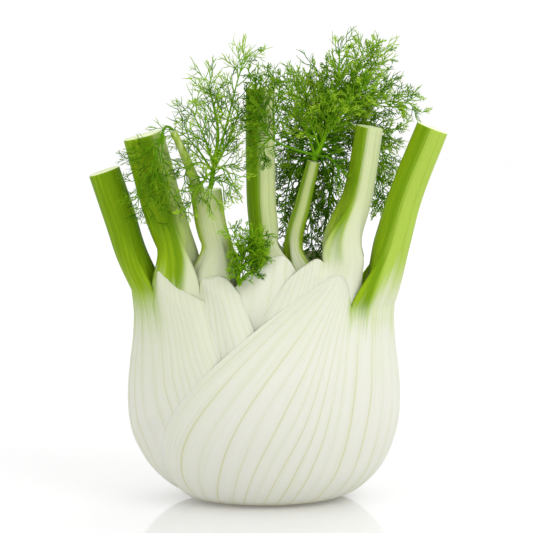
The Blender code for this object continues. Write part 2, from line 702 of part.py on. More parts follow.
def grow_frond(frond, trees, parts, joined):
    """A frond: its ribs with leaflets on both sides, joined to one body."""
    draw = random.Random(frond.seed)
    base = None
    for rib in frond.ribs:
        radii = np.linspace(rib.radius, rib.radius * RIB_TIP_SHARE, len(rib.route))
        item, points = tube(frond.name, rib.route, radii, 0, parts if base is None else joined)
        base = base or item
        along = np.concatenate([[0], np.cumsum(np.linalg.norm(np.diff(points, axis=0), axis=1))])
        place = along[-1] * rib.bare
        hand = 1
        while place < along[-1]:
            spot = Vector([np.interp(place, along, points[:, axis]) for axis in range(3)])
            ahead = Vector([np.interp(place + 1, along, points[:, axis]) for axis in range(3)])
            behind = Vector([np.interp(place - 1, along, points[:, axis]) for axis in range(3)])
            tangent = (ahead - behind).normalized()
            face = turned(Vector((0, -1, 0)), tangent, draw.uniform(-rib.bushy, rib.bushy))
            face = (face - tangent * face.dot(tangent)).normalized() * hand
            share = (place / along[-1] - rib.bare) / (1 - rib.bare)
            reach = rib.reach * (1 - (1 - TIP_SHARE) * share) * draw.uniform(0.85, 1.15)
            grow_leaflet(spot, tangent, face, reach, trees, draw, joined)
            place += rib.spacing * draw.uniform(0.8, 1.2)
            hand = -hand
        last = Vector(points[-1])
        ahead = (last - Vector(points[-2])).normalized()
        face = turned(Vector((0, -1, 0)), ahead, draw.uniform(-rib.bushy, rib.bushy))
        face = (face - ahead * face.dot(ahead)).normalized()
        mesh, ends = leaflet_mesh(last - ahead * 0.5, ahead, face, rib.reach * 0.8, draw, LEAFLET_FORKS)
        if all(is_clear(last, end, trees) for end in ends):
            joined.objects.link(bpy.data.objects.new("leaflet", mesh))
    apply_boolean(base, "UNION", joined)
    base.data.materials.clear()
    base.data.materials.append(make_material(frond.name, frond.colour, 0.5))
    base.name = frond.name
    return base


def build():
    """Build every sub-part of the bulb."""
    clear_scene()
    parts = make_collection("fennel bulb")
    cutters = make_collection("cutters")
    make_stem(parts)
    leaves = []
    for leaf in LEAVES:
        material = make_material(leaf.name, leaf.colour, 0.45)
        points, faces = leaf_mesh(leaf)
        item = closed_object(leaf.name, points, faces, material, parts)
        if leaf is LEFT_THIRD:
            tube("side_branch", SIDE_BRANCH, SIDE_BRANCH_RADII, 1, cutters)
            apply_boolean(item, "UNION", cutters)
        clear_neighbours(item, leaves, cutters)
        leaves.append(item)
    trees = [surface_tree(item) for item in leaves]
    for frond in FRONDS:
        item = grow_frond(frond, trees, parts, cutters)
        trees.append(surface_tree(item))


build()
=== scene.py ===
"""The look of a fennel bulb: sheaths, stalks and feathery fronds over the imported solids.

The sheaths and stalks are lofted finely on the same outlines as the solids. Their
patterns follow a UV map: across from margin to margin, and along from the foot to
the cut top. The fronds are grown along the same ribs by a Geometry Nodes tree.
Lengths in the data are millimetres, and everything faces -Y.
"""

import json
import logging
import math
import random
from dataclasses import dataclass, field
from enum import Enum
from typing import Any, Iterable, Sequence

import bmesh
import bpy
import numpy as np
from mathutils import Matrix, Vector

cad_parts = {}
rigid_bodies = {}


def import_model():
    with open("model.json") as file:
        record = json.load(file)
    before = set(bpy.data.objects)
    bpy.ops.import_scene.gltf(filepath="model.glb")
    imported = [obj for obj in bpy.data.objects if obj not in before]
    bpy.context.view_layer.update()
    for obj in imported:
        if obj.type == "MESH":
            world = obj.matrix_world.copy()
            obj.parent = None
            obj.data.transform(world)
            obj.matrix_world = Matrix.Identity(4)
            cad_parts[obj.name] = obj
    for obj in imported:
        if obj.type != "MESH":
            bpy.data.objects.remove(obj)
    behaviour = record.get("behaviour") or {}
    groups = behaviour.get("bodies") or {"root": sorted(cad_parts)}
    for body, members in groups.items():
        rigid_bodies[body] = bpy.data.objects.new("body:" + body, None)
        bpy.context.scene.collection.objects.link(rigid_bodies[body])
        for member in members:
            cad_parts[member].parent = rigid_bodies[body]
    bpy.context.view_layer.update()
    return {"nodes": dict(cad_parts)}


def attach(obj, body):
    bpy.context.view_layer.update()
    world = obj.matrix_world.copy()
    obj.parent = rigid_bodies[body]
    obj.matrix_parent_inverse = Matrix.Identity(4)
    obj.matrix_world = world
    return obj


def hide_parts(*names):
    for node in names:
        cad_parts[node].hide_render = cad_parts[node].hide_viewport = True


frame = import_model()

log = logging.getLogger("fennel_bulb")

MM = 0.001
BODY = "root"
Colour = tuple[float, float, float, float]

# The photograph's frame, in pixels, and how it maps to the bulb.
PHOTO_SIDE = 533.0
AXIS_COLUMN = 264.0
GROUND_ROW = 498.0
MM_PER_PIXEL = 0.3846
CAMERA_ELEVATION = 8.0
CAMERA_DISTANCE = 1.15
SENSOR_WIDTH = 36.0

# Outline of the bulb: station, half width, half depth, height, and the way a
# layer under the skin shifts there, as shares inwards and upwards.
OUTLINE = (
    (0, 17.5, 14.2, 2.0, 0.28, 0.96),
    (4, 24.0, 18.6, 0.9, 0.33, 0.93),
    (8, 30.0, 22.6, 1.1, 0.46, 0.86),
    (12, 35.5, 26.2, 3.2, 0.62, 0.72),
    (17, 40.5, 29.6, 7.0, 0.76, 0.55),
    (23, 45.5, 32.6, 12.6, 0.87, 0.38),
    (31, 49.6, 35.2, 21.0, 0.95, 0.20),
    (40, 52.0, 36.8, 30.0, 1.00, 0.08),
    (51, 52.7, 36.8, 41.0, 1.00, 0.00),
    (62, 51.9, 34.8, 52.0, 1.00, 0.00),
    (73, 50.6, 30.4, 63.0, 1.00, 0.00),
    (82, 50.2, 25.8, 72.0, 1.00, 0.00),
    (92, 51.2, 20.6, 82.0, 1.00, 0.00),
    (102, 52.4, 17.0, 92.0, 1.00, 0.00),
    (112, 54.0, 14.6, 102.0, 1.00, 0.00),
)

# Thickness of a leaf's wings and of its back, by station, in millimetres.
WING_STATIONS = (0, 15, 50, 85, 110)
WING_THICKNESS = (2.8, 3.1, 3.3, 2.6, 2.4)
BACK_STATIONS = (0, 15, 50, 75, 92, 110)
BACK_THICKNESS = (2.8, 3.8, 8.6, 11.5, 13.4, 13.4)
BACK_SPREAD = 1.12
BACK_ROUNDING = 1.4
EDGE_THICKNESS = 1.0
TAPER_WIDTH = 14.0

# How a leaf lies on the next one: the solids' gap, how far the finer skins close
# it, how its margin droops, and how the next leaf comes up to the skin beyond it.
LAYER_GAP = 0.95
CLOSING = 0.6
DROOP_WIDTH = 5.5
MARGIN_LIFT = 0.36
MARGIN_THICKNESS = 1.2
RELAX_WIDTH = 9.0
FOOT_RELAX_WIDTH = 70.0
FOOT_STATIONS = (12, 45)

# How a leaf's outline and its grid are drawn.
MM_PER_DEGREE = 0.8
SWEEP_SHARE = 0.45
MARGIN_STEPS = 12
MOUTH_STEPS = 9
BELOW_OUTLINE = -60.0
ABOVE_OUTLINE = 260.0
ROW_CROWDING = 1.3
COLUMN_CROWDING = 1.5
STALK_CROWDING = 1.05
STALK_MORPH = 24.0
RING_OUTER_ANGLE = 108.0
RING_INNER_ANGLE = 112.0

# Cut top of a stalk: how each ring shrinks, and how deep it lies below the rim.
CUT_PROFILE = ((0.975, -0.16), (0.93, -0.05), (0.75, 0.12), (0.5, 0.3), (0.25, 0.36))
CUT_DEPTH = 0.4


class Side(Enum):
    """The side of the bulb that a leaf's back is on."""

    LEFT = -1
    RIGHT = 1


def smooth_curve(x: Any, xs: Sequence[float], ys: Sequence[float]) -> np.ndarray:
    """Read a smooth curve through points.

    Args:
        x: Where to read it.
        xs: The points' places, rising.
        ys: The points' values.

    Returns:
        The value at every x.
    """
    x = np.clip(np.asarray(x, float), xs[0], xs[-1])
    xs = np.asarray(xs, float)
    ys = np.asarray(ys, float)
    slope = np.gradient(ys, xs)
    left = np.clip(np.searchsorted(xs, x, side="right") - 1, 0, len(xs) - 2)
    width = xs[left + 1] - xs[left]
    s = (x - xs[left]) / width
    start = (1 + 2 * s) * (1 - s) ** 2 * ys[left] + s * (1 - s) ** 2 * width * slope[left]
    end = s * s * (3 - 2 * s) * ys[left + 1] + s * s * (s - 1) * width * slope[left + 1]
    return start + end


def smoothstep(x: Any) -> np.ndarray:
    """Ease from 0 to 1."""
    x = np.clip(x, 0.0, 1.0)
    return x * x * (3 - 2 * x)


def skin_point(angle: np.ndarray, station: np.ndarray, depth: np.ndarray) -> np.ndarray:
    """The points at angles and stations, some depths below the skin.

    Args:
        angle: Angles round the bulb, in degrees from +X.
        station: Distances up the outline.
        depth: Depths across the bulb and along it.

    Returns:
        Points, in millimetres.
    """
    columns = list(zip(*OUTLINE))
    half_width, half_depth, height, inwards, upwards = (
        smooth_curve(station, columns[0], column) for column in columns[1:])
    turn = np.radians(angle)
    x = (half_width - depth[0] * inwards) * np.cos(turn)
    y = (half_depth - depth[1] * inwards) * np.sin(turn)
    z = height + depth[1] * upwards
    return np.stack([x, y, z], axis=-1)


def add_node(tree: bpy.types.NodeTree, kind: str, inputs: dict[Any, Any] | None, output: Any,
             settings: dict[str, Any]) -> bpy.types.NodeSocket:
    """Add any node to a tree.

    Args:
        tree: The tree.
        kind: The node's type.
        inputs: Values or sockets, by input name or number.
        output: The output's name or number.
        settings: The node's own properties, which are set first.

    Returns:
        The output socket.
    """
    made = tree.nodes.new(kind)
    for key, value in settings.items():
        setattr(made, key, value)
    for key, value in (inputs or {}).items():
        if isinstance(value, Value):
            value = value.socket
        if isinstance(value, bpy.types.NodeSocket):
            tree.links.new(value, made.inputs[key])
        else:
            made.inputs[key].default_value = value
    return made.outputs[output]


def add_object(name: str, data: Any) -> bpy.types.Object:
    """Make an object of a mesh, light or camera, and link it to the scene."""
    made = bpy.data.objects.new(name, data)
    bpy.context.scene.collection.objects.link(made)
    return made


def carry_numbers(mesh: bpy.types.Mesh, values: dict[str, Sequence[float]]) -> None:
    """Give every point of a mesh its numbers, by attribute name."""
    for name, numbers in values.items():
        mesh.attributes.new(name, "FLOAT", "POINT").data.foreach_set("value", np.array(numbers, np.float32))


class Graph:
    """A shader tree under construction."""

    def __init__(self, name: str) -> None:
        """Start a material.

        Args:
            name: The material's name.
        """
        self.material = bpy.data.materials.new(name)
        self.material.use_nodes = True
        self.tree = self.material.node_tree
        self.tree.nodes.clear()

    def node(self, kind: str, inputs: dict[Any, Any] | None = None, output: Any = 0,
             **settings: Any) -> "Value":
        """Add any node, and wrap its output."""
        return Value(self, add_node(self.tree, kind, inputs, output, settings))

    def maths(self, operation: str, *terms: Any) -> "Value":
        """A Math node on up to three terms."""
        return self.node("ShaderNodeMath", dict(enumerate(terms)), operation=operation)

    def vector(self, operation: str, first: Any, second: Any) -> "Value":
        """A Vector Math node on two terms."""
        return self.node("ShaderNodeVectorMath", {0: first, 1: second}, operation=operation)

    def mix(self, factor: Any, first: Any, second: Any) -> "Value":
        """Mix two colours."""
        return self.node("ShaderNodeMix", {0: factor, 6: first, 7: second}, 2, data_type="RGBA")

    def layers(self, colour: Any, *coats: tuple[Any, Any]) -> "Value":
        """Lay colours over a colour, each by its own factor."""
        for factor, coat in coats:
            colour = self.mix(factor, colour, coat)
        return colour

    def between(self, value: Any, low: Any, high: Any) -> "Value":
        """Ease from 0 at low to 1 at high."""
        return self.node("ShaderNodeMapRange", {"Value": value, "From Min": low, "From Max": high},
                         interpolation_type="SMOOTHSTEP")

    def noise(self, place: "Value", scale: float, detail: float = 3.0) -> "Value":
        """Noise from 0 to 1 at a place."""
        return self.node("ShaderNodeTexNoise", {"Vector": place, "Scale": scale, "Detail": detail}, "Fac")

    def place(self) -> "Value":
        """Object coordinates, in metres."""
        return self.node("ShaderNodeTexCoord", output="Object")

    def pattern(self) -> "Value":
        """The piece's own UV map."""
        return self.node("ShaderNodeUVMap", uv_map="pattern")

    def attribute(self, name: str) -> "Value":
        """A number that the mesh carries."""
        return self.node("ShaderNodeAttribute", output="Fac", attribute_name=name)

    def axis(self, vector: "Value", name: str) -> "Value":
        """One coordinate of a vector."""
        return self.node("ShaderNodeSeparateXYZ", {0: vector}, name)

    def streaks(self, place: "Value", stretch: tuple[float, float, float], detail: float) -> "Value":
        """Noise from 0 to 1 that is stretched over a place."""
        return self.noise(self.vector("MULTIPLY", place, stretch), 1.0, detail)

    def cells(self, place: "Value", scale: float, rim: float, heart: float) -> "Value":
        """Dots from 0 at the rim of a cell to 1 at its heart."""
        away = self.node("ShaderNodeTexVoronoi", {"Vector": place, "Scale": scale}, "Distance")
        return self.between(away, rim, heart)

    def swing(self, angle: "Value") -> "Value":
        """A wave from 0 to 1 over an angle."""
        return self.between(self.maths("SINE", angle), -1.0, 1.0)

    def bump(self, height: "Value", distance: float, **more: Any) -> "Value":
        """A bump from a height of 0 to 1 over a distance in metres."""
        return self.node("ShaderNodeBump", {"Height": height, "Distance": distance, **more}, "Normal")

    def finish(self, inputs: dict[str, Any]) -> bpy.types.Material:
        """End the tree in a Principled shader.

        Args:
            inputs: The shader's inputs.

        Returns:
            The material.
        """
        shader = self.node("ShaderNodeBsdfPrincipled", inputs)
        out = self.tree.nodes.new("ShaderNodeOutputMaterial")
        self.tree.links.new(shader.socket, out.inputs["Surface"])
        return self.material


class Value:
    """A shader socket that sums can be written with."""

    def __init__(self, graph: Graph, socket: bpy.types.NodeSocket) -> None:
        """Wrap a socket of a graph."""
        self.graph = graph
        self.socket = socket

    def __add__(self, other: Any) -> "Value":
        """This plus other."""
        return self.graph.maths("ADD", self, other)

    def __radd__(self, other: Any) -> "Value":
        """Other plus this."""
        return self.graph.maths("ADD", other, self)

    def __sub__(self, other: Any) -> "Value":
        """This minus other."""
        return self.graph.maths("SUBTRACT", self, other)

    def __rsub__(self, other: Any) -> "Value":
        """Other minus this."""
        return self.graph.maths("SUBTRACT", other, self)

    def __mul__(self, other: Any) -> "Value":
        """This times other."""
        return self.graph.maths("MULTIPLY", self, other)

    def __rmul__(self, other: Any) -> "Value":
        """Other times this."""
        return self.graph.maths("MULTIPLY", other, self)


# Tints that all the leaves share.
CREAM = (0.68, 0.705, 0.58, 1)
VEIN_HALO = (0.58, 0.61, 0.44, 1)
STREAK_TINT = (0.56, 0.61, 0.36, 1)
UPPER_TINT = (0.60, 0.637, 0.435, 1)
LEFT_TINT = (0.54, 0.585, 0.37, 1)
MOUTH_TINT = (0.55, 0.62, 0.28, 1)
FOOT_TINT = (0.58, 0.50, 0.26, 1)
SPECK_TINT = (0.78, 0.79, 0.68, 1)
SPOT_BROWN = (0.40, 0.30, 0.10, 1)
STRIPE_GREEN = (0.11, 0.235, 0.0005, 1)
FURROW_GREEN = (0.12, 0.24, 0.0005, 1)

# Noise on a leaf: how it repeats across the leaf and along it.
FINE_STREAKS = (46.0, 2.0, 1.0)
BROAD_STREAKS = (15.0, 1.2, 1.0)
VEIN_WANDER = (2.5, 1.4, 1.0)
VEIN_BREAKS = 0.7

# Waves across a leaf: the stalk's ribs and the fine lines at a margin.
RIB_WAVE = 150.0
MARGIN_WAVE = 260.0

# Depths of the bumps, in metres, and the soft flesh under every skin.
VEIN_RELIEF = 0.00016
RIB_RELIEF = 0.00012
FLESH = {"Subsurface Radius": (1.0, 0.9, 0.45), "Subsurface Scale": 0.003}


class LeafPattern:
    """The veins, streaks and ribs that the colours of a leaf follow."""

    def __init__(self, g: Graph, vein_count: float, wrap: float) -> None:
        """Read the leaf's maps.

        Args:
            g: The leaf's shader tree.
            vein_count: Veins on each of the leaf's three parts.
            wrap: How far the stalk's green reaches onto the wings.
        """
        self.place = g.place()
        pattern = g.pattern()
        self.across = g.axis(pattern, "X")
        self.along = g.axis(pattern, "Y")
        self.height = g.axis(self.place, "Z") * (1 / MM)
        self.streaks = g.streaks(pattern, FINE_STREAKS, 4.0)
        self.broad = g.streaks(pattern, BROAD_STREAKS, 2.0)
        self.cloud = g.noise(self.place, 60.0, 2.0)
        self.speckle = g.noise(self.place, 900.0, 2.0)
        self.feather = (self.streaks - 0.5) * 26.0 + (self.broad - 0.5) * 16.0
        self.wander = g.streaks(pattern, VEIN_WANDER, 1.0)

        self.on_stalk = (g.between(self.along, 0.90, 1.06) * g.between(self.across, 0.93, 1.0)
                         * g.between(self.across, 2.07, 2.0))
        back = (g.between(self.across, 0.80 - wrap, 0.99 - wrap)
                * g.between(self.across, 2.20 + wrap, 2.01 + wrap))
        self.on_back = g.maths("MAXIMUM", back, self.on_stalk)

        line = self.across * vein_count + (self.wander - 0.5) * 1.8
        self.from_line = g.maths("ABSOLUTE", g.maths("FRACT", line) - 0.5)
        strength = g.streaks(pattern, (vein_count, VEIN_BREAKS, 1.0), 0.0)
        self.vein = (g.between(self.from_line, 0.085, 0.0) * g.between(strength, 0.25, 0.60)
                     * (1.0 - self.on_stalk))
        self.rib = g.swing(self.across * RIB_WAVE + (self.wander - 0.5) * 2.0)


@dataclass(frozen=True)
class LeafFinish:
    """The colours of a leaf, and where white turns to green.

    The turn to green lies between two heights in millimetres. The pale band lies
    between two places across the stalk, from -1 on its left to 1 on its right, and
    the dark stripe lies round one.
    """

    name: str
    green: Colour
    mid: Colour
    pale: Colour
    turn: tuple[float, float]
    band: tuple[float, float]
    band_share: float
    vein_count: float
    stripe: float = -0.35
    wrap: float = 0.0
    spot: tuple[float, float, float] | None = None
    edge_drop: float = 16.0
    white: Colour = (0.705, 0.705, 0.640, 1)
    vein: Colour = (0.55, 0.54, 0.24, 1)

    def sheath(self, g: Graph, p: LeafPattern) -> "Value":
        """The white of the sheath, under its veins and tints."""
        leftward = g.between(g.axis(p.place, "X") * (1 / MM), 4.0, -34.0) * g.between(p.height, 20.0, 70.0)
        lines = g.between(g.maths("SINE", p.across * MARGIN_WAVE + p.wander * 6.0), 0.0, 1.0)
        return g.layers(
            self.white,
            (g.between(p.cloud, 0.3, 0.75) * 0.30, CREAM),
            (g.between(p.from_line, 0.42, 0.0) * 0.20, VEIN_HALO),
            (g.between(p.streaks, 0.48, 0.72) * 0.22, STREAK_TINT),
            (p.vein * 0.62, self.vein),
            (g.between(p.height + p.feather * 0.5, 36.0, 92.0) * 0.42, UPPER_TINT),
            (leftward * 0.30, LEFT_TINT),
            (g.between(p.along + (p.streaks - 0.5) * 0.3, 0.82, 1.1) * p.on_back * 0.30, MOUTH_TINT),
            (g.between(p.height + p.feather * 0.06, 3.4, 0.4) * 0.5, FOOT_TINT),
            (g.between(p.across, 0.26, 0.0) * lines * 0.25, STREAK_TINT))

    def stalk(self, g: Graph, p: LeafPattern, side: "Value", band: "Value", level: "Value") -> "Value":
        """The greens of the stalk.

        Args:
            g: The shader tree.
            p: The leaf's pattern.
            side: Place across the stalk.
            band: How much of the pale band is there.
            level: Height, moved by the streaks.

        Returns:
            The colour.
        """
        deep = g.between(level, self.turn[1] - 6.0, self.turn[1] + 16.0) * p.on_back
        stripe = g.between(g.maths("ABSOLUTE", side - self.stripe), 0.42, 0.05)
        colour = g.layers(
            self.mid,
            (deep, self.green),
            (g.between(p.streaks, 0.40, 0.66) * 0.45, self.green),
            (stripe * 0.6, STRIPE_GREEN),
            (g.between(p.broad, 0.50, 0.66) * 0.55, self.mid),
            (g.between(p.broad, 0.44, 0.30) * 0.45, FURROW_GREEN),
            (band * self.band_share * (1.0 - g.between(p.broad, 0.50, 0.34) * 0.25), self.pale))
        return g.mix((1.0 - p.rib) * 0.20, colour, g.mix(0.5, colour, self.green))

    def mark(self, g: Graph, p: LeafPattern, colour: "Value") -> "Value":
        """A small brown mark on the skin, where the leaf has one."""
        if not self.spot:
            return colour
        flat = g.vector("MULTIPLY", p.place, (1.0, 0.15, 1.0))
        middle = (self.spot[0] * MM, self.spot[1] * MM * 0.15, self.spot[2] * MM)
        away = g.node("ShaderNodeVectorMath", {0: flat, 1: middle}, "Value", operation="DISTANCE")
        return g.mix(g.between(away + (p.cloud - 0.5) * 0.0012, 0.0016, 0.0006) * 0.7, colour, SPOT_BROWN)

    def material(self) -> bpy.types.Material:
        """The leaf's skin."""
        g = Graph(self.name)
        p = LeafPattern(g, self.vein_count, self.wrap)
        side = g.attribute("facing") + (p.streaks - 0.5) * 0.5
        band_from, band_to = self.band
        band = (g.between(side, band_from - 0.2, band_from + 0.2)
                * g.between(side, band_to + 0.2, band_to - 0.2))
        level = p.height + p.feather + (0.4 - band) * self.edge_drop * p.on_stalk
        green = g.between(level, *self.turn) * p.on_back
        colour = g.mix(green, self.sheath(g, p), self.stalk(g, p, side, band, level))
        colour = g.mix(g.between(p.speckle, 0.35, 0.8) * (1.0 - green) * 0.06, colour, SPECK_TINT)

        swell = g.between(p.from_line, 0.0, 0.5) * (1.0 - p.on_stalk)
        bump = g.bump(swell * 0.5 + p.vein * 0.2, VEIN_RELIEF)
        bump = g.bump(p.rib * p.on_stalk * 0.7 + p.speckle * 0.12 + p.streaks * 0.25, RIB_RELIEF,
                      Strength=0.8, Normal=bump)
        return g.finish({
            "Base Color": self.mark(g, p, colour), "Normal": bump, "IOR": 1.40, "Specular IOR Level": 0.13,
            "Roughness": g.between(p.cloud, 0.2, 0.8) * 0.10 + g.between(p.streaks, 0.3, 0.7) * 0.06 + 0.40,
            "Subsurface Weight": 0.15, **FLESH})


@dataclass(frozen=True)
class CutFinish:
    """The moist flesh of a cut stalk: pale, with a green rim and darker fibres."""

    name: str
    flesh: Colour = (0.72, 0.80, 0.42, 1)
    rim: Colour = (0.30, 0.44, 0.06, 1)
    fibre: Colour = (0.46, 0.56, 0.20, 1)
    fleck: Colour = (0.86, 0.88, 0.62, 1)

    def material(self) -> bpy.types.Material:
        """The cut's material."""
        g = Graph(self.name)
        place = g.place()
        depth = g.attribute("flesh")
        cloud = g.noise(place, 350.0, 3.0)
        fibre = g.cells(place, 620.0, 0.34, 0.12) * g.between(depth, 0.05, 0.2)
        colour = g.layers(
            self.flesh,
            (g.between(depth + (cloud - 0.5) * 0.12, 0.16, 0.02), self.rim),
            (g.between(cloud, 0.35, 0.7) * 0.35, self.fleck),
            (fibre * 0.6, self.fibre))
        return g.finish({
            "Base Color": colour, "Roughness": g.between(cloud, 0.2, 0.8) * 0.25 + 0.28,
            "Normal": g.bump(cloud * 0.6 + fibre * 0.5, 0.0003), "Subsurface Weight": 0.3, **FLESH})


@dataclass(frozen=True)
class StemFinish:
    """The trimmed stem: an off-white cut with rings, fibres and drying edges."""

    name: str = "stem_cut"
    flesh: Colour = (0.80, 0.78, 0.60, 1)
    ring: Colour = (0.88, 0.87, 0.72, 1)
    fibre: Colour = (0.64, 0.60, 0.34, 1)
    dry: Colour = (0.55, 0.44, 0.24, 1)

    def material(self) -> bpy.types.Material:
        """The stem's material."""
        g = Graph(self.name)
        place = g.place()
        flat = g.vector("MULTIPLY", place, (1.0, 1.25, 0.0))
        radius = g.node("ShaderNodeVectorMath", {0: flat}, "Value", operation="LENGTH") * (1 / MM)
        cloud = g.noise(place, 260.0, 4.0)
        rings = g.swing(radius * 1.7 + cloud * 3.0)
        fibre = g.cells(place, 480.0, 0.32, 0.1)
        colour = g.layers(
            self.flesh,
            (rings * 0.3, self.ring),
            (fibre * 0.45, self.fibre),
            (g.between(radius + (cloud - 0.5) * 5.0, 12.5, 17.0) * 0.8, self.dry))
        return g.finish({
            "Base Color": colour, "Roughness": cloud * 0.3 + 0.4,
            "Normal": g.bump(cloud * 0.5 + rings * 0.3 + fibre * 0.3, 0.0005)})


@dataclass(frozen=True)
class BranchFinish:
    """The yellow-green skin of the side branch, streaked along it."""

    name: str = "side_branch_skin"
    green: Colour = (0.24, 0.38, 0.01, 1)
    pale: Colour = (0.46, 0.56, 0.16, 1)

    def material(self) -> bpy.types.Material:
        """The branch's material."""
        g = Graph(self.name)
        place = g.place()
        streaks = g.streaks(place, (900.0, 900.0, 60.0), 3.0)
        cloud = g.noise(place, 120.0, 2.0)
        colour = g.mix(g.between(streaks + (cloud - 0.5) * 0.4, 0.35, 0.68), self.pale, self.green)
        return g.finish({
            "Base Color": colour, "Roughness": cloud * 0.15 + 0.34, "Normal": g.bump(streaks, 0.00012),
            "Specular IOR Level": 0.35})


@dataclass(frozen=True)
class FrondFinish:
    """The green of the feathery threads, with its spread of tones."""

    name: str
    light: Colour
    mid: Colour
    deep: Colour

    def material(self) -> bpy.types.Material:
        """The frond's material."""
        g = Graph(self.name)
        place = g.place()
        tone = g.attribute("tone")
        tip = g.attribute("tip")
        cloud = g.noise(place, 90.0, 2.0)
        colour = g.layers(
            self.deep,
            (g.between(tone + (cloud - 0.5) * 0.8, 0.15, 0.6), self.mid),
            (g.between(tone * 0.5 + tip * 0.7 + (cloud - 0.5) * 0.6, 0.45, 1.05), self.light))
        return g.finish({
            "Base Color": colour, "Roughness": cloud * 0.2 + 0.6, "Specular IOR Level": 0.04})


@dataclass(frozen=True)
class Wing:
    """One free side of a sheath, from its margin to the crease at the stalk.

    Foot and tip are the angles at which the margin starts and ends, and the mouth is
    the station of the upper edge at shares of the way from margin to crease.
    """

    foot: float
    tip: float
    sweep: float
    mouth: tuple[tuple[float, float], ...]

    def mouth_at(self, share: Any) -> np.ndarray:
        """Station of the mouth at a share of the way from margin to crease."""
        shares, stations = zip(*self.mouth)
        return smooth_curve(share, shares, stations)


class LeafMesh:
    """The points and faces of a leaf, and what every point carries."""

    def __init__(self) -> None:
        """Start with no point."""
        self.points: list[Any] = []
        self.faces: list[tuple[int, ...]] = []
        self.uvs: list[Any] = []
        self.values: dict[str, list[float]] = {"facing": [], "flesh": []}

    def add(self, points: Sequence[Any], uvs: Sequence[Any], facing: Any, flesh: float) -> np.ndarray:
        """Add points.

        Args:
            points: The points, in millimetres.
            uvs: Their places across and along the leaf.
            facing: How far they look to the right, from -1 to 1.
            flesh: How deep inside the cut they are.

        Returns:
            Their numbers.
        """
        first = len(self.points)
        self.points.extend(points)
        self.uvs.extend(uvs)
        self.values["facing"].extend(np.broadcast_to(facing, len(points)))
        self.values["flesh"].extend([flesh] * len(points))
        return np.arange(first, len(self.points))

    def grow(self, loop: np.ndarray, ring: np.ndarray, *maps: Any) -> np.ndarray:
        """Add a ring, and close the band between it and the one before.

        Args:
            loop: The numbers of the ring before.
            ring: The points.
            *maps: What the points carry, as for add.

        Returns:
            The numbers of the new ring.
        """
        following = self.add(ring, *maps)
        self.faces.extend(zip(loop, np.roll(loop, -1), np.roll(following, -1), following))
        return following

    def close_sheath(self, skin: np.ndarray, lining: np.ndarray, back: slice) -> None:
        """Lay the faces of the sheath, open only where the stalk grows from it.

        Args:
            skin: Point numbers of the outside, by column and row.
            lining: Point numbers of the inside.
            back: The columns under the stalk.
        """
        last_column, last_row = skin.shape[0] - 1, skin.shape[1] - 1
        for sheet, flip in ((skin, 1), (lining, -1)):
            for c in range(last_column):
                for r in range(last_row):
                    face = (sheet[c, r], sheet[c + 1, r], sheet[c + 1, r + 1], sheet[c, r + 1])
                    self.faces.append(face[::flip])
        for r in range(last_row):
            self.faces.append((skin[0, r], skin[0, r + 1], lining[0, r + 1], lining[0, r]))
            self.faces.append((skin[-1, r + 1], skin[-1, r], lining[-1, r], lining[-1, r + 1]))
        for c in range(last_column):
            self.faces.append((skin[c + 1, 0], skin[c, 0], lining[c, 0], lining[c + 1, 0]))
            if not back.start <= c < back.stop - 1:
                self.faces.append((skin[c, -1], skin[c + 1, -1], lining[c + 1, -1], lining[c, -1]))

    def build(self, name: str) -> bpy.types.Mesh:
        """The mesh, with its UV map and the numbers that its points carry.

        Args:
            name: The mesh's name.

        Returns:
            The mesh.
        """
        mesh = bpy.data.meshes.new(name)
        mesh.from_pydata(np.array(self.points) * MM, [], [tuple(map(int, face)) for face in self.faces])
        index = np.zeros(len(mesh.loops), np.int32)
        mesh.loops.foreach_get("vertex_index", index)
        uvs = np.array(self.uvs, np.float32)[index]
        mesh.uv_layers.new(name="pattern").data.foreach_set("uv", uvs.ravel())
        carry_numbers(mesh, self.values)
        return mesh


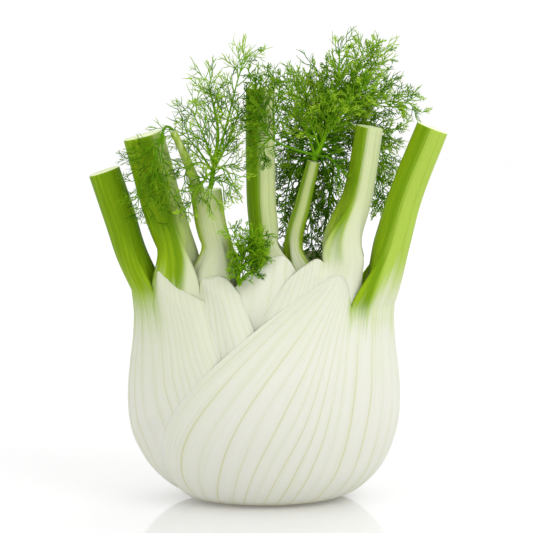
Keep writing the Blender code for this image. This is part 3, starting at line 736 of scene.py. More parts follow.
@dataclass
class Leaf:
    """One leaf: a sheath on one side of the bulb, and its cut stalk.

    The creases bound the back, on which the stalk grows: their angles at the foot and
    at the mouth, and the mouth's station there. Stalk stations are x, y, z of the
    middle, the width and the depth.
    """

    name: str
    slot: str
    side: Side
    crease_foot: tuple[float, float]
    crease_tip: tuple[float, float]
    crease_station: float
    front: Wing
    rear: Wing
    back_share: float
    stalk: tuple[tuple[float, ...], ...]
    finish: LeafFinish
    wing_columns: int = 44
    back_columns: int = 56
    rear_columns: int = 34
    rows: int = 110
    stalk_rows: int = 84
    foot_station: float = 0.0
    outer: list["Leaf"] = field(default_factory=list)

    def turn(self, angle: np.ndarray) -> np.ndarray:
        """Turn an angle measured from the leaf's back into one round the bulb, or back."""
        return angle if self.side is Side.RIGHT else -180.0 - angle

    def wing_angle(self, wing: Wing, end: int, share: Any, station: Any) -> np.ndarray:
        """Angle of the line that runs up a wing.

        Args:
            wing: The wing.
            end: 0 for the front wing, 1 for the rear one.
            share: Where the line lies, from 0 at the margin to 1 at the crease.
            station: Places along the line.

        Returns:
            Angles from the leaf's back, in degrees.
        """
        foot = wing.foot + (self.crease_foot[end] - wing.foot) * share
        tip = wing.tip + (self.crease_tip[end] - wing.tip) * share
        sweep = wing.sweep + (1 - wing.sweep) * np.clip(share / SWEEP_SHARE, 0, 1)
        climb = np.clip(station / wing.mouth_at(share), 0, 1)
        return foot + (tip - foot) * climb ** sweep

    def outline(self) -> np.ndarray:
        """The closed outline that the leaf covers, as angle and station points."""
        halves = []
        for end, wing in enumerate((self.front, self.rear)):
            margin = np.linspace(0, wing.mouth_at(0.0), MARGIN_STEPS)
            angles = list(self.wing_angle(wing, end, 0.0, margin))
            stations = list(margin)
            for share in np.linspace(0, 1, MOUTH_STEPS)[1:]:
                angles.append(wing.tip + (self.crease_tip[end] - wing.tip) * share)
                stations.append(wing.mouth_at(share))
            angles = [angles[0]] + angles + [angles[-1]]
            stations = [BELOW_OUTLINE] + stations + [ABOVE_OUTLINE]
            halves.append(list(zip(angles, stations)))
        outline = np.array(halves[0] + halves[1][::-1], float)
        outline[:, 0] *= MM_PER_DEGREE
        return outline

    def cover(self, angle: np.ndarray, station: np.ndarray) -> tuple[np.ndarray, np.ndarray]:
        """How far inside the leaf's outline the places round the bulb are.

        Args:
            angle: Angles round the bulb.
            station: Stations of the same places.

        Returns:
            Distances, positive inside, and the angles from this leaf's back.
        """
        own = (self.turn(np.asarray(angle, float)) + 180.0) % 360.0 - 180.0
        outline = self.outline()
        best = None
        for turn in (-360.0, 0.0, 360.0):
            points = np.stack([(own + turn) * MM_PER_DEGREE, station], axis=-1).reshape(-1, 2)
            distance = outline_distance(outline, points).reshape(own.shape)
            best = distance if best is None else np.maximum(best, distance)
        return best, own

    def thickness(self, inside: np.ndarray, own_angle: np.ndarray, station: np.ndarray) -> np.ndarray:
        """Thickness of the sheath across the bulb, where its back is thick, and along it.

        Args:
            inside: Distances from the leaf's outline.
            own_angle: Angles from the leaf's back.
            station: Stations.

        Returns:
            Two thicknesses at every place.
        """
        wing = np.interp(station, WING_STATIONS, WING_THICKNESS)
        back = np.interp(station, BACK_STATIONS, BACK_THICKNESS) * self.back_share
        climb = np.clip(station / self.crease_station, 0, 1)
        foot = np.where(own_angle < 0, -self.crease_foot[0], self.crease_foot[1])
        tip = np.where(own_angle < 0, -self.crease_tip[0], self.crease_tip[1])
        share = np.clip(np.abs(own_angle) / (foot + (tip - foot) * climb) / BACK_SPREAD, 0, 1)
        bell = np.cos(share * math.pi / 2) ** BACK_ROUNDING
        wing = wing * min(self.back_share, 1.0)
        full = np.stack([wing + np.maximum(back - wing, 0) * bell, wing])
        return EDGE_THICKNESS + (full - EDGE_THICKNESS) * np.clip(inside / TAPER_WIDTH, 0, 1)

    def start_depth(self, angle: np.ndarray, station: np.ndarray) -> np.ndarray:
        """Depths below the skin at which the leaf starts, under the leaves outside it."""
        depth = np.zeros((2,) + np.shape(angle))
        relax = np.interp(station, FOOT_STATIONS, (FOOT_RELAX_WIDTH, RELAX_WIDTH))
        for leaf in self.outer:
            inside, own_angle = leaf.cover(angle, station)
            under = leaf.thickness(np.maximum(inside, 0), own_angle, station) + LAYER_GAP
            depth += under * smoothstep(1 + np.minimum(inside, 0) / relax)
        return depth

    def grid(self) -> tuple[np.ndarray, np.ndarray, np.ndarray, np.ndarray]:
        """The sheath's grid, whose columns run as the veins do.

        Returns:
            Angles, stations, places across (0 to 3) and places along (0 to 1).
        """
        columns = []
        climb = np.linspace(0, 1, self.rows) ** ROW_CROWDING
        low = self.foot_station
        for t in np.linspace(0, 1, self.wing_columns + 1)[:-1]:
            share = t ** COLUMN_CROWDING
            stations = low + climb * (self.front.mouth_at(share) - low)
            columns.append((self.wing_angle(self.front, 0, share, stations), stations, share))
        for share in np.linspace(0, 1, self.back_columns + 1):
            stations = low + climb * (self.crease_station - low)
            foot = self.crease_foot[0] + (self.crease_foot[1] - self.crease_foot[0]) * share
            tip = self.crease_tip[0] + (self.crease_tip[1] - self.crease_tip[0]) * share
            columns.append((foot + (tip - foot) * stations / self.crease_station, stations, 1 + share))
        for t in np.linspace(1, 0, self.rear_columns + 1)[1:]:
            share = t ** COLUMN_CROWDING
            stations = low + climb * (self.rear.mouth_at(share) - low)
            columns.append((self.wing_angle(self.rear, 1, share, stations), stations, 3 - share))
        angles, stations, across = zip(*columns)
        across = np.repeat(np.array(across)[:, None], self.rows, axis=1)
        along = np.repeat(climb[None, :], len(columns), axis=0)
        return self.turn(np.array(angles)), np.array(stations), across, along

    def stalk_rings(self, ring: np.ndarray) -> Iterable[tuple[np.ndarray, float, np.ndarray]]:
        """Rings that lead from the sheath's mouth up to the cut top.

        Args:
            ring: The mouth's ring of points.

        Yields:
            Each ring, its share of the way up, and its axis.
        """
        middle = ring.mean(axis=0)
        stations = np.array(self.stalk, float)
        heights = [middle[2]] + list(stations[:, 2])
        route = np.vstack([middle, stations[:, :3]])
        widths = [stations[0, 3]] + list(stations[:, 3])
        depths = [stations[0, 4]] + list(stations[:, 4])
        half = len(ring) // 2
        outer = np.linspace(-RING_OUTER_ANGLE, RING_OUTER_ANGLE, half)
        inner = np.linspace(RING_INNER_ANGLE, 360 - RING_INNER_ANGLE, half)
        turn = np.radians(np.concatenate([outer, inner]))
        for share in np.linspace(0, 1, self.stalk_rows + 1)[1:]:
            z = heights[0] + (heights[-1] - heights[0]) * share ** STALK_CROWDING
            centre, above, below = (
                np.array([smooth_curve(z + lift, heights, route[:, axis]) for axis in range(3)])
                for lift in (0.0, 1.0, -1.0))
            axis = (above - below) / np.linalg.norm(above - below)
            across = np.array([axis[2], 0.0, -axis[0]]) * self.side.value
            across /= np.linalg.norm(across)
            width = smooth_curve(z, heights, widths) / 2
            depth = smooth_curve(z, heights, depths) / 2
            target = centre + np.outer(np.cos(turn) * width, across)
            target = target + np.outer(np.sin(turn) * depth, (0.0, 1.0, 0.0))
            weight = float(smoothstep((z - heights[0]) / STALK_MORPH))
            yield (ring + centre - middle) * (1 - weight) + target * weight, share, axis

    def build(self) -> bpy.types.Object:
        """Loft the sheath and its stalk.

        Returns:
            The leaf's object.
        """
        angle, station, across, along = self.grid()
        depth = self.start_depth(angle, station)
        inside, own_angle = self.cover(angle, station)
        inside = np.maximum(inside, 0)
        drooping = 1 - smoothstep(inside / DROOP_WIDTH)
        droop = (EDGE_THICKNESS + LAYER_GAP - MARGIN_LIFT) * drooping
        thickness = self.thickness(inside, own_angle, station)
        thickness = thickness + CLOSING * np.clip(inside / TAPER_WIDTH, 0, 1)
        thickness = thickness + (LAYER_GAP - MARGIN_LIFT + MARGIN_THICKNESS) * drooping
        outer = skin_point(angle, station, depth + droop)
        inner = skin_point(angle, station, depth + thickness)

        back = slice(self.wing_columns, self.wing_columns + self.back_columns + 1)
        mouth = np.concatenate([outer[back, -1], inner[back, -1][::-1]])
        mouth_across = np.concatenate([across[back, -1], across[back, -1][::-1]])
        middle = mouth[:, 0].mean()
        facing = np.clip((outer[:, -1, 0] - middle) / np.abs(mouth[:, 0] - middle).max(), -1, 1)

        shell = LeafMesh()
        columns, rows = angle.shape
        maps = (np.stack([across, along], -1).reshape(-1, 2), np.repeat(facing, rows), 0.0)
        skin = shell.add(outer.reshape(-1, 3), *maps).reshape(columns, rows)
        lining = shell.add(inner.reshape(-1, 3), *maps).reshape(columns, rows)
        shell.close_sheath(skin, lining, back)

        loop = np.concatenate([skin[back, -1], lining[back, -1][::-1]])
        for ring, share, axis in self.stalk_rings(mouth):
            away = ring[:, 0] - ring[:, 0].mean()
            place = np.stack([mouth_across, np.full(len(ring), 1 + share)], -1)
            loop = shell.grow(loop, ring, place, away / np.abs(away).max(), 0.0)
        cut_from = len(shell.faces)
        centre = ring.mean(axis=0)
        for shrink, sink in CUT_PROFILE:
            loop = shell.grow(loop, centre + (ring - centre) * shrink - axis * sink, place, 0.0, 1 - shrink)
        hub = shell.add([centre - axis * CUT_DEPTH], [(1.5, 2.0)], 0.0, 1.0)[0]
        shell.faces.extend((a, b, hub) for a, b in zip(loop, np.roll(loop, -1)))
        return self.dress(shell, cut_from)

    def dress(self, shell: LeafMesh, cut_from: int) -> bpy.types.Object:
        """Make the leaf's object with its maps and materials.

        Args:
            shell: The leaf's points and faces.
            cut_from: The number of the first face of the cut.

        Returns:
            The object.
        """
        mesh = shell.build(self.name + "_skin")
        mesh.materials.append(self.finish.material())
        mesh.materials.append(CutFinish(self.finish.name + "_cut").material())
        slots = np.zeros(len(mesh.polygons), np.int32)
        slots[cut_from:] = 1
        mesh.polygons.foreach_set("material_index", slots)
        shape = bmesh.new()
        shape.from_mesh(mesh)
        if shape.calc_volume(signed=True) < 0:
            bmesh.ops.reverse_faces(shape, faces=shape.faces)
        shape.to_mesh(mesh)
        shape.free()
        mesh.shade_smooth()
        return add_object(self.name + "_skin", mesh)


def outline_distance(outline: np.ndarray, points: np.ndarray) -> np.ndarray:
    """Distance of points from a closed outline.

    Args:
        outline: The outline's corners.
        points: The points.

    Returns:
        Distances, positive inside.
    """
    nearest = np.full(len(points), 1e9)
    inside = np.zeros(len(points), bool)
    for start, end in zip(outline, np.roll(outline, -1, axis=0)):
        along = end - start
        length = max(float(along @ along), 1e-9)
        share = np.clip((points - start) @ along / length, 0, 1)
        offset = points - (start + share[:, None] * along)
        nearest = np.minimum(nearest, np.hypot(offset[:, 0], offset[:, 1]))
        crosses = (start[1] > points[:, 1]) != (end[1] > points[:, 1])
        rise = end[1] - start[1] if end[1] != start[1] else 1e-9
        at = start[0] + (points[:, 1] - start[1]) / rise * along[0]
        inside ^= crosses & (points[:, 0] < at)
    return np.where(inside, nearest, -nearest)


DARK_GREEN = (0.175, 0.31, 0.0005, 1)
MID_GREEN = (0.29, 0.44, 0.006, 1)
PALE_GREEN = (0.52, 0.61, 0.22, 1)
YELLOW_GREEN = (0.36, 0.49, 0.03, 1)
WAXY_GREEN = (0.60, 0.66, 0.34, 1)

LEAVES = [
    Leaf("leaf_right_outer", "outer_leaf", Side.RIGHT, (-66, 64), (-47, 46), 86,
         Wing(-152, -60, 2.1, ((0, 98), (0.35, 98.5), (0.7, 95.5), (1, 86))),
         Wing(138, 60, 1.7, ((0, 95), (0.4, 96), (0.75, 92.5), (1, 86))), 1.0,
         ((47.6, 0.3, 94, 14.2, 18.5), (54.2, 0.6, 117, 13.0, 14.0), (64.4, 1.2, 143.2, 12.4, 12.6)),
         LeafFinish("right_outer_skin", (0.22, 0.37, 0.001, 1), MID_GREEN, (0.40, 0.55, 0.08, 1),
                    turn=(64, 86), band=(-0.02, 1.3), band_share=0.9, vein_count=11, stripe=-0.25,
                    spot=(34.7, -16.2, 86.6))),
    Leaf("leaf_left_outer", "outer_leaf", Side.LEFT, (-60, 60), (-31, 33), 91,
         Wing(-104, -62, 0.8, ((0, 89), (0.35, 93), (0.6, 98), (0.8, 102), (0.92, 97.5), (1, 91))),
         Wing(118, 66, 1.2, ((0, 93), (0.5, 97), (0.8, 96), (1, 91))), 0.96,
         ((-50.8, 0.0, 95, 11.8, 15.5), (-55.6, 0.3, 110, 12.4, 13.6), (-61.2, 0.6, 126.6, 12.2, 12.6)),
         LeafFinish("left_outer_skin", (0.16, 0.29, 0.0005, 1), MID_GREEN, PALE_GREEN,
                    turn=(60, 92), band=(1.5, 2.0), band_share=0.0, vein_count=9, stripe=0.6,
                    spot=(-29.8, -14.0, 4.0))),
    Leaf("leaf_left_second", "outer_leaf", Side.LEFT, (-66, 62), (-59, 56), 91,
         Wing(-118, -79, 1.1, ((0, 92), (0.3, 97.5), (0.7, 97.5), (0.92, 95.5), (1, 91))),
         Wing(112, 76, 1.1, ((0, 94), (0.5, 98), (1, 91))), 1.06,
         ((-33.6, -1.0, 95, 14.6, 19.0), (-38.8, -1.4, 113, 15.6, 16.8), (-46.0, -1.8, 140.6, 15.6, 16.0)),
         LeafFinish("left_second_skin", DARK_GREEN, MID_GREEN, PALE_GREEN,
                    turn=(76, 98), band=(0.34, 1.3), band_share=0.85, vein_count=8, stripe=0.0)),
    Leaf("leaf_right_second", "pale_leaf", Side.RIGHT, (-70, 68), (-63, 60), 103,
         Wing(-128, -80, 1.5, ((0, 97), (0.5, 102.5), (0.85, 104.5), (1, 103))),
         Wing(118, 80, 1.3, ((0, 98), (0.5, 104), (1, 103))), 1.1,
         ((30.6, 0.2, 99, 14.0, 17.0), (35.8, 0.5, 117, 11.6, 13.0), (40.4, 0.9, 143.6, 10.4, 11.2)),
         LeafFinish("right_second_skin", (0.20, 0.34, 0.002, 1), YELLOW_GREEN, (0.62, 0.67, 0.40, 1),
                    turn=(88, 116), band=(0.02, 1.3), band_share=0.92, vein_count=8)),
    Leaf("leaf_right_third", "inner_leaf", Side.RIGHT, (-76, 74), (-68, 66), 88,
         Wing(-132, -106, 1.0, ((0, 92.5), (0.28, 99), (0.5, 105), (0.66, 105.5), (0.84, 98), (1, 88))),
         Wing(124, 94, 1.1, ((0, 94), (0.5, 99), (1, 88))), 0.75,
         ((11.6, 1.6, 98, 7.2, 9.4), (15.0, 2.6, 114, 6.0, 6.8), (19.0, 3.6, 130.0, 5.0, 5.6)),
         LeafFinish("right_third_skin", (0.21, 0.36, 0.003, 1), YELLOW_GREEN, (0.55, 0.62, 0.28, 1),
                    turn=(80, 100), band=(-0.30, 0.55), band_share=0.85, vein_count=5)),
    Leaf("leaf_left_third", "pale_leaf", Side.LEFT, (-80, 78), (-72, 68), 90,
         Wing(-122, -96, 1.0, ((0, 88), (0.5, 89.5), (1, 90))),
         Wing(122, 94, 1.0, ((0, 90), (0.5, 93), (1, 90))), 0.82,
         ((-18.6, -2.2, 98, 11.6, 12.6), (-20.6, -2.8, 108, 11.8, 11.4), (-22.2, -3.2, 119.6, 12.0, 10.0)),
         LeafFinish("left_third_skin", (0.25, 0.40, 0.005, 1), (0.42, 0.53, 0.07, 1), WAXY_GREEN,
                    turn=(80, 104), band=(-0.72, 0.62), band_share=0.9, vein_count=5, stripe=0.95,
                    wrap=0.3)),
    Leaf("leaf_middle", "inner_leaf", Side.RIGHT, (-90, 90), (-84, 84), 90,
         Wing(-140, -118, 1.0, ((0, 90), (0.5, 90), (1, 90))),
         Wing(140, 118, 1.0, ((0, 90), (0.5, 90), (1, 90))), 0.72,
         ((2.4, 1.0, 94, 11.6, 12.0), (-0.6, 0.9, 110, 11.2, 11.4), (-1.3, 0.8, 128, 11.2, 11.2),
          (-1.3, 0.6, 158.6, 11.2, 11.0)),
         LeafFinish("middle_skin", (0.18, 0.32, 0.001, 1), (0.30, 0.45, 0.01, 1), WAXY_GREEN,
                    turn=(78, 102), band=(0.10, 1.3), band_share=0.9, vein_count=5),
         foot_station=14.0),
]


@dataclass(frozen=True)
class Rib:
    """A branch of a frond: its route, and how its leaflets stand on it.

    Bare is the share at its foot without leaflets, reach the length of its longest
    side ribs, and bushy the degrees by which they roll round it.
    """

    route: tuple[tuple[float, float, float], ...]
    radius: float
    bare: float = 0.25
    reach: float = 12.0
    bushy: float = 65.0


# A thread's points, from its root to its end, how thin it is there, and its sides.
THREAD_PLACES = (0.0, 0.5, 1.0)
THREAD_TAPER = (1.0, 0.85, 0.4)
THREAD_SIDES = 3

# How ribs grow: their sides, the step between their points, how they thin out, and
# the points, curl and bare foot of their side ribs, in millimetres and shares.
RIB_SIDES = 7
RIB_STEP = 1.6
RIB_END = 0.06
RIB_TAPER = 0.8
RIB_TIP_FROM = 0.72
LOOK_AHEAD = 0.6
SIDE_RIB_POINTS = 7
SIDE_RIB_CURL = 0.035
SIDE_RIB_BARE = 0.12

# A side rib's radius at its foot, in threads, and how it and its leaflets lessen.
SIDE_RIB_RADIUS = 1.35
SIDE_RIB_TAPER = 0.5
SIDE_LEAFLET_TAPER = 0.35

LEAFLET_KINDS = 7
LEAFLET_ANGLE = 34.0
LEAFLET_ANGLE_STEP = 2.2


class ThreadMesh:
    """Chains of edges that a Geometry Nodes tree turns into tapering threads."""

    def __init__(self) -> None:
        """Start with no chain."""
        self.points: list[Vector] = []
        self.edges: list[tuple[int, int]] = []
        self.values: dict[str, list[float]] = {}

    def add(self, route: Sequence[Any], **values: Sequence[float]) -> None:
        """Add a chain.

        Args:
            route: Its points.
            **values: One number for every point, by attribute name.
        """
        first = len(self.points)
        self.points.extend(Vector(p) for p in route)
        self.edges.extend((first + i, first + i + 1) for i in range(len(route) - 1))
        for name, numbers in values.items():
            self.values.setdefault(name, []).extend(float(n) for n in numbers)

    def build(self, name: str, scale: float) -> bpy.types.Mesh:
        """The chains as a mesh.

        Args:
            name: The mesh's name.
            scale: What to multiply the points by.

        Returns:
            The mesh.
        """
        mesh = bpy.data.meshes.new(name)
        mesh.from_pydata([p * scale for p in self.points], self.edges, [])
        carry_numbers(mesh, self.values)
        return mesh


@dataclass(frozen=True)
class Leaflet:
    """One feathery leaflet, a unit long: a thread with forked side threads in pairs."""

    angle: float
    pairs: int = 3
    first_pair: float = 0.16
    pair_span: float = 0.58
    share: float = 0.62
    bend: float = 0.16

    def thread(self, mesh: ThreadMesh, root: Vector, way: Vector, curl: Vector, length: float,
               base: float) -> list[Vector]:
        """Add a bent thread.

        Args:
            mesh: Where to add it.
            root: Where it starts.
            way: Its direction.
            curl: Where its end bends to.
            length: Its length.
            base: Its place between the leaflet's foot, 0, and its tips, 1.

        Returns:
            The thread's points.
        """
        route = [root + way * length * t + curl * length * t * t for t in THREAD_PLACES]
        mesh.add(route, tip=[base + (1 - base) * t for t in THREAD_PLACES], thin=THREAD_TAPER)
        return route

    def build(self, name: str, seed: int) -> bpy.types.Object:
        """Make the leaflet's chains.

        Args:
            name: Its name.
            seed: The seed of its small differences.

        Returns:
            The object.
        """
        draw = random.Random(seed)
        mesh = ThreadMesh()
        curl = Vector((draw.uniform(-1, 1), draw.uniform(-1, 1), 0)) * self.bend
        axis = self.thread(mesh, Vector((0, 0, 0)), Vector((0, 0, 1)), curl, 1.0, 0.0)
        for pair in range(self.pairs):
            share = self.first_pair + self.pair_span * pair / (self.pairs - 1)
            for hand in (-1, 1):
                place = (share + draw.uniform(-0.05, 0.05)) * 2
                cell = min(1, int(place))
                root = axis[cell].lerp(axis[cell + 1], place - cell)
                tilt = math.radians(self.angle * draw.uniform(0.7, 1.3))
                lift = draw.uniform(-1.0, 1.0)
                way = Vector((hand * math.sin(tilt), math.sin(tilt) * lift, math.cos(tilt))).normalized()
                length = self.share * (1.1 - 0.6 * share) * draw.uniform(0.75, 1.25)
                side_curl = Vector((-hand * self.bend, draw.uniform(-0.18, 0.18), 0.1))
                side = self.thread(mesh, root, way, side_curl, length, share)
                turn = math.radians(draw.uniform(24, 40) * draw.choice((-1, 1)))
                fork_way = Matrix.Rotation(turn, 3, Vector((0, 1, 0))) @ way
                fork_way = (fork_way + Vector((0, draw.uniform(-0.4, 0.4), 0))).normalized()
                self.thread(mesh, side[1], fork_way, side_curl, length * draw.uniform(0.5, 0.8),
                            share * 0.5 + 0.5)
        return bpy.data.objects.new(name, mesh.build(name, 1.0))


class Draw(Enum):
    """What a leaflet draws its own random number for."""

    ROLL = 1
    TILT = 2
    TWIST = 3
    SIZE = 4
    SHAPE = 5
    TONE = 6


class FrondTree:
    """The Geometry Nodes tree that grows leaflets along the ribs of a frond."""

    def __init__(self) -> None:
        """Build the tree."""
        self.group = bpy.data.node_groups.new("frond_growth", "GeometryNodeTree")
        self.sockets: dict[str, str] = {}
        face = self.group.interface
        face.new_socket("Geometry", in_out="INPUT", socket_type="NodeSocketGeometry")
        for name, kind in (("Leaflets", "Collection"), ("Spacing", "Float"), ("Spread", "Float"),
                           ("Thread Radius", "Float"), ("Rib Sides", "Int"), ("Seed", "Int"),
                           ("Material", "Material")):
            made = face.new_socket(name, in_out="INPUT", socket_type="NodeSocket" + kind)
            self.sockets[name] = made.identifier
        face.new_socket("Geometry", in_out="OUTPUT", socket_type="NodeSocketGeometry")
        self.given = self.group.nodes.new("NodeGroupInput")
        self.grow()

    def node(self, kind: str, inputs: dict[Any, Any] | None = None, output: Any = 0,
             **settings: Any) -> bpy.types.NodeSocket:
        """Add any node, and give its output socket."""
        return add_node(self.group, kind, inputs, output, settings)

    def named(self, name: str) -> bpy.types.NodeSocket:
        """A number that the ribs or leaflets carry."""
        return self.node("GeometryNodeInputNamedAttribute", {"Name": name}, "Attribute", data_type="FLOAT")

    def maths(self, operation: str, first: Any, second: Any) -> bpy.types.NodeSocket:
        """A Math node on two terms."""
        return self.node("ShaderNodeMath", {0: first, 1: second}, operation=operation)

    def seed(self, draw: Draw) -> bpy.types.NodeSocket:
        """The seed of one of a leaflet's random numbers."""
        return self.maths("ADD", self.given.outputs["Seed"], draw.value)

    def chance(self, low: float, high: float, draw: Draw) -> bpy.types.NodeSocket:
        """A random number for every leaflet."""
        inputs = {2: low, 3: high, "Seed": self.seed(draw)}
        return self.node("FunctionNodeRandomValue", inputs, 1, data_type="FLOAT")

    def turned(self, rotation: bpy.types.NodeSocket, axis: str,
               angle: bpy.types.NodeSocket) -> bpy.types.NodeSocket:
        """Turn a rotation about one of its own axes."""
        euler = self.node("ShaderNodeCombineXYZ", {axis: angle})
        turn = self.node("FunctionNodeEulerToRotation", {0: euler})
        return self.node("FunctionNodeRotateRotation", {0: rotation, 1: turn}, rotation_space="LOCAL")

    def tubes(self, curves: bpy.types.NodeSocket, sides: Any, radius: Any) -> bpy.types.NodeSocket:
        """Tubes round curves, with closed ends."""
        ring = self.node("GeometryNodeCurvePrimitiveCircle", {"Resolution": sides, "Radius": 1.0})
        return self.node("GeometryNodeCurveToMesh", {
            "Curve": curves, "Profile Curve": ring, "Scale": radius, "Fill Caps": True})

    def grow(self) -> None:
        """Lay out the nodes: ribs as tubes, leaflets on both sides, and threads."""
        given = self.given.outputs
        ribs = self.node("GeometryNodeMeshToCurve", {"Mesh": given["Geometry"]})
        rib_tubes = self.tubes(ribs, given["Rib Sides"], self.named("thick"))
        points = self.node("GeometryNodeCurveToPoints", {"Curve": ribs, "Length": given["Spacing"]},
                           "Points", mode="LENGTH")
        tangent = points.node.outputs["Tangent"]
        aligned = self.node("FunctionNodeAxesToRotation", {0: tangent, 1: (0.0, -1.0, 0.0)},
                            primary_axis="Z", secondary_axis="Y")
        index = self.node("GeometryNodeInputIndex")
        even = self.maths("MODULO", index, 2.0)
        hand = self.maths("SUBTRACT", self.maths("MULTIPLY", even, 2.0), 1.0)
        roll = self.maths("MULTIPLY", self.chance(-1.0, 1.0, Draw.ROLL), self.named("bushy"))
        tilt = self.maths("MULTIPLY", hand, given["Spread"])
        tilt = self.maths("MULTIPLY", tilt, self.chance(0.65, 1.25, Draw.TILT))
        rotation = self.turned(aligned, "Z", roll)
        rotation = self.turned(rotation, "Y", tilt)
        rotation = self.turned(rotation, "Z", self.chance(-0.9, 0.9, Draw.TWIST))
        size = self.maths("MULTIPLY", self.named("reach"), self.chance(0.72, 1.12, Draw.SIZE))
        pick = self.node("FunctionNodeRandomValue", {4: 0, 5: 99, "Seed": self.seed(Draw.SHAPE)}, 2,
                         data_type="INT")
        leaflets = self.node("GeometryNodeCollectionInfo", {
            "Collection": given["Leaflets"], "Separate Children": True, "Reset Children": True})
        leafy = self.node("FunctionNodeCompare", {0: self.named("leafy"), 1: 0.5}, data_type="FLOAT",
                          operation="GREATER_THAN")
        placed = self.node("GeometryNodeInstanceOnPoints", {
            "Points": points, "Selection": leafy, "Instance": leaflets,
            "Pick Instance": True, "Instance Index": pick, "Rotation": rotation, "Scale": size})
        placed = self.node("GeometryNodeStoreNamedAttribute",
                           {"Geometry": placed, "Name": "tone", "Value": self.chance(0.0, 1.0, Draw.TONE)},
                           data_type="FLOAT", domain="INSTANCE")
        threads = self.node("GeometryNodeRealizeInstances", {0: placed})
        threads = self.node("GeometryNodeMeshToCurve", {"Mesh": threads})
        radius = self.maths("MULTIPLY", given["Thread Radius"], self.named("thin"))
        threads = self.tubes(threads, THREAD_SIDES, radius)
        joined = self.node("GeometryNodeJoinGeometry", {0: threads})
        self.group.links.new(rib_tubes, joined.node.inputs[0])
        whole = self.node("GeometryNodeRealizeInstances", {0: joined})
        dressed = self.node("GeometryNodeSetMaterial", {"Geometry": whole, "Material": given["Material"]})
        out = self.group.nodes.new("NodeGroupOutput")
        self.group.links.new(dressed, out.inputs[0])

    def apply(self, item: bpy.types.Object, values: dict[str, Any]) -> bpy.types.Object:
        """Run the tree on an object.

        Args:
            item: The ribs' object, linked to the scene. It is removed.
            values: The tree's inputs by name.

        Returns:
            A plain mesh object of the same name.
        """
        step = item.modifiers.new("growth", "NODES")
        step.node_group = self.group
        for name, value in values.items():
            step[self.sockets[name]] = value
        bpy.context.view_layer.update()
        graph = bpy.context.evaluated_depsgraph_get()
        mesh = bpy.data.meshes.new_from_object(item.evaluated_get(graph), depsgraph=graph)
        name = item.name
        old = item.data
        bpy.data.objects.remove(item)
        bpy.data.meshes.remove(old)
        mesh.name = name
        mesh.shade_smooth()
        return add_object(name, mesh)


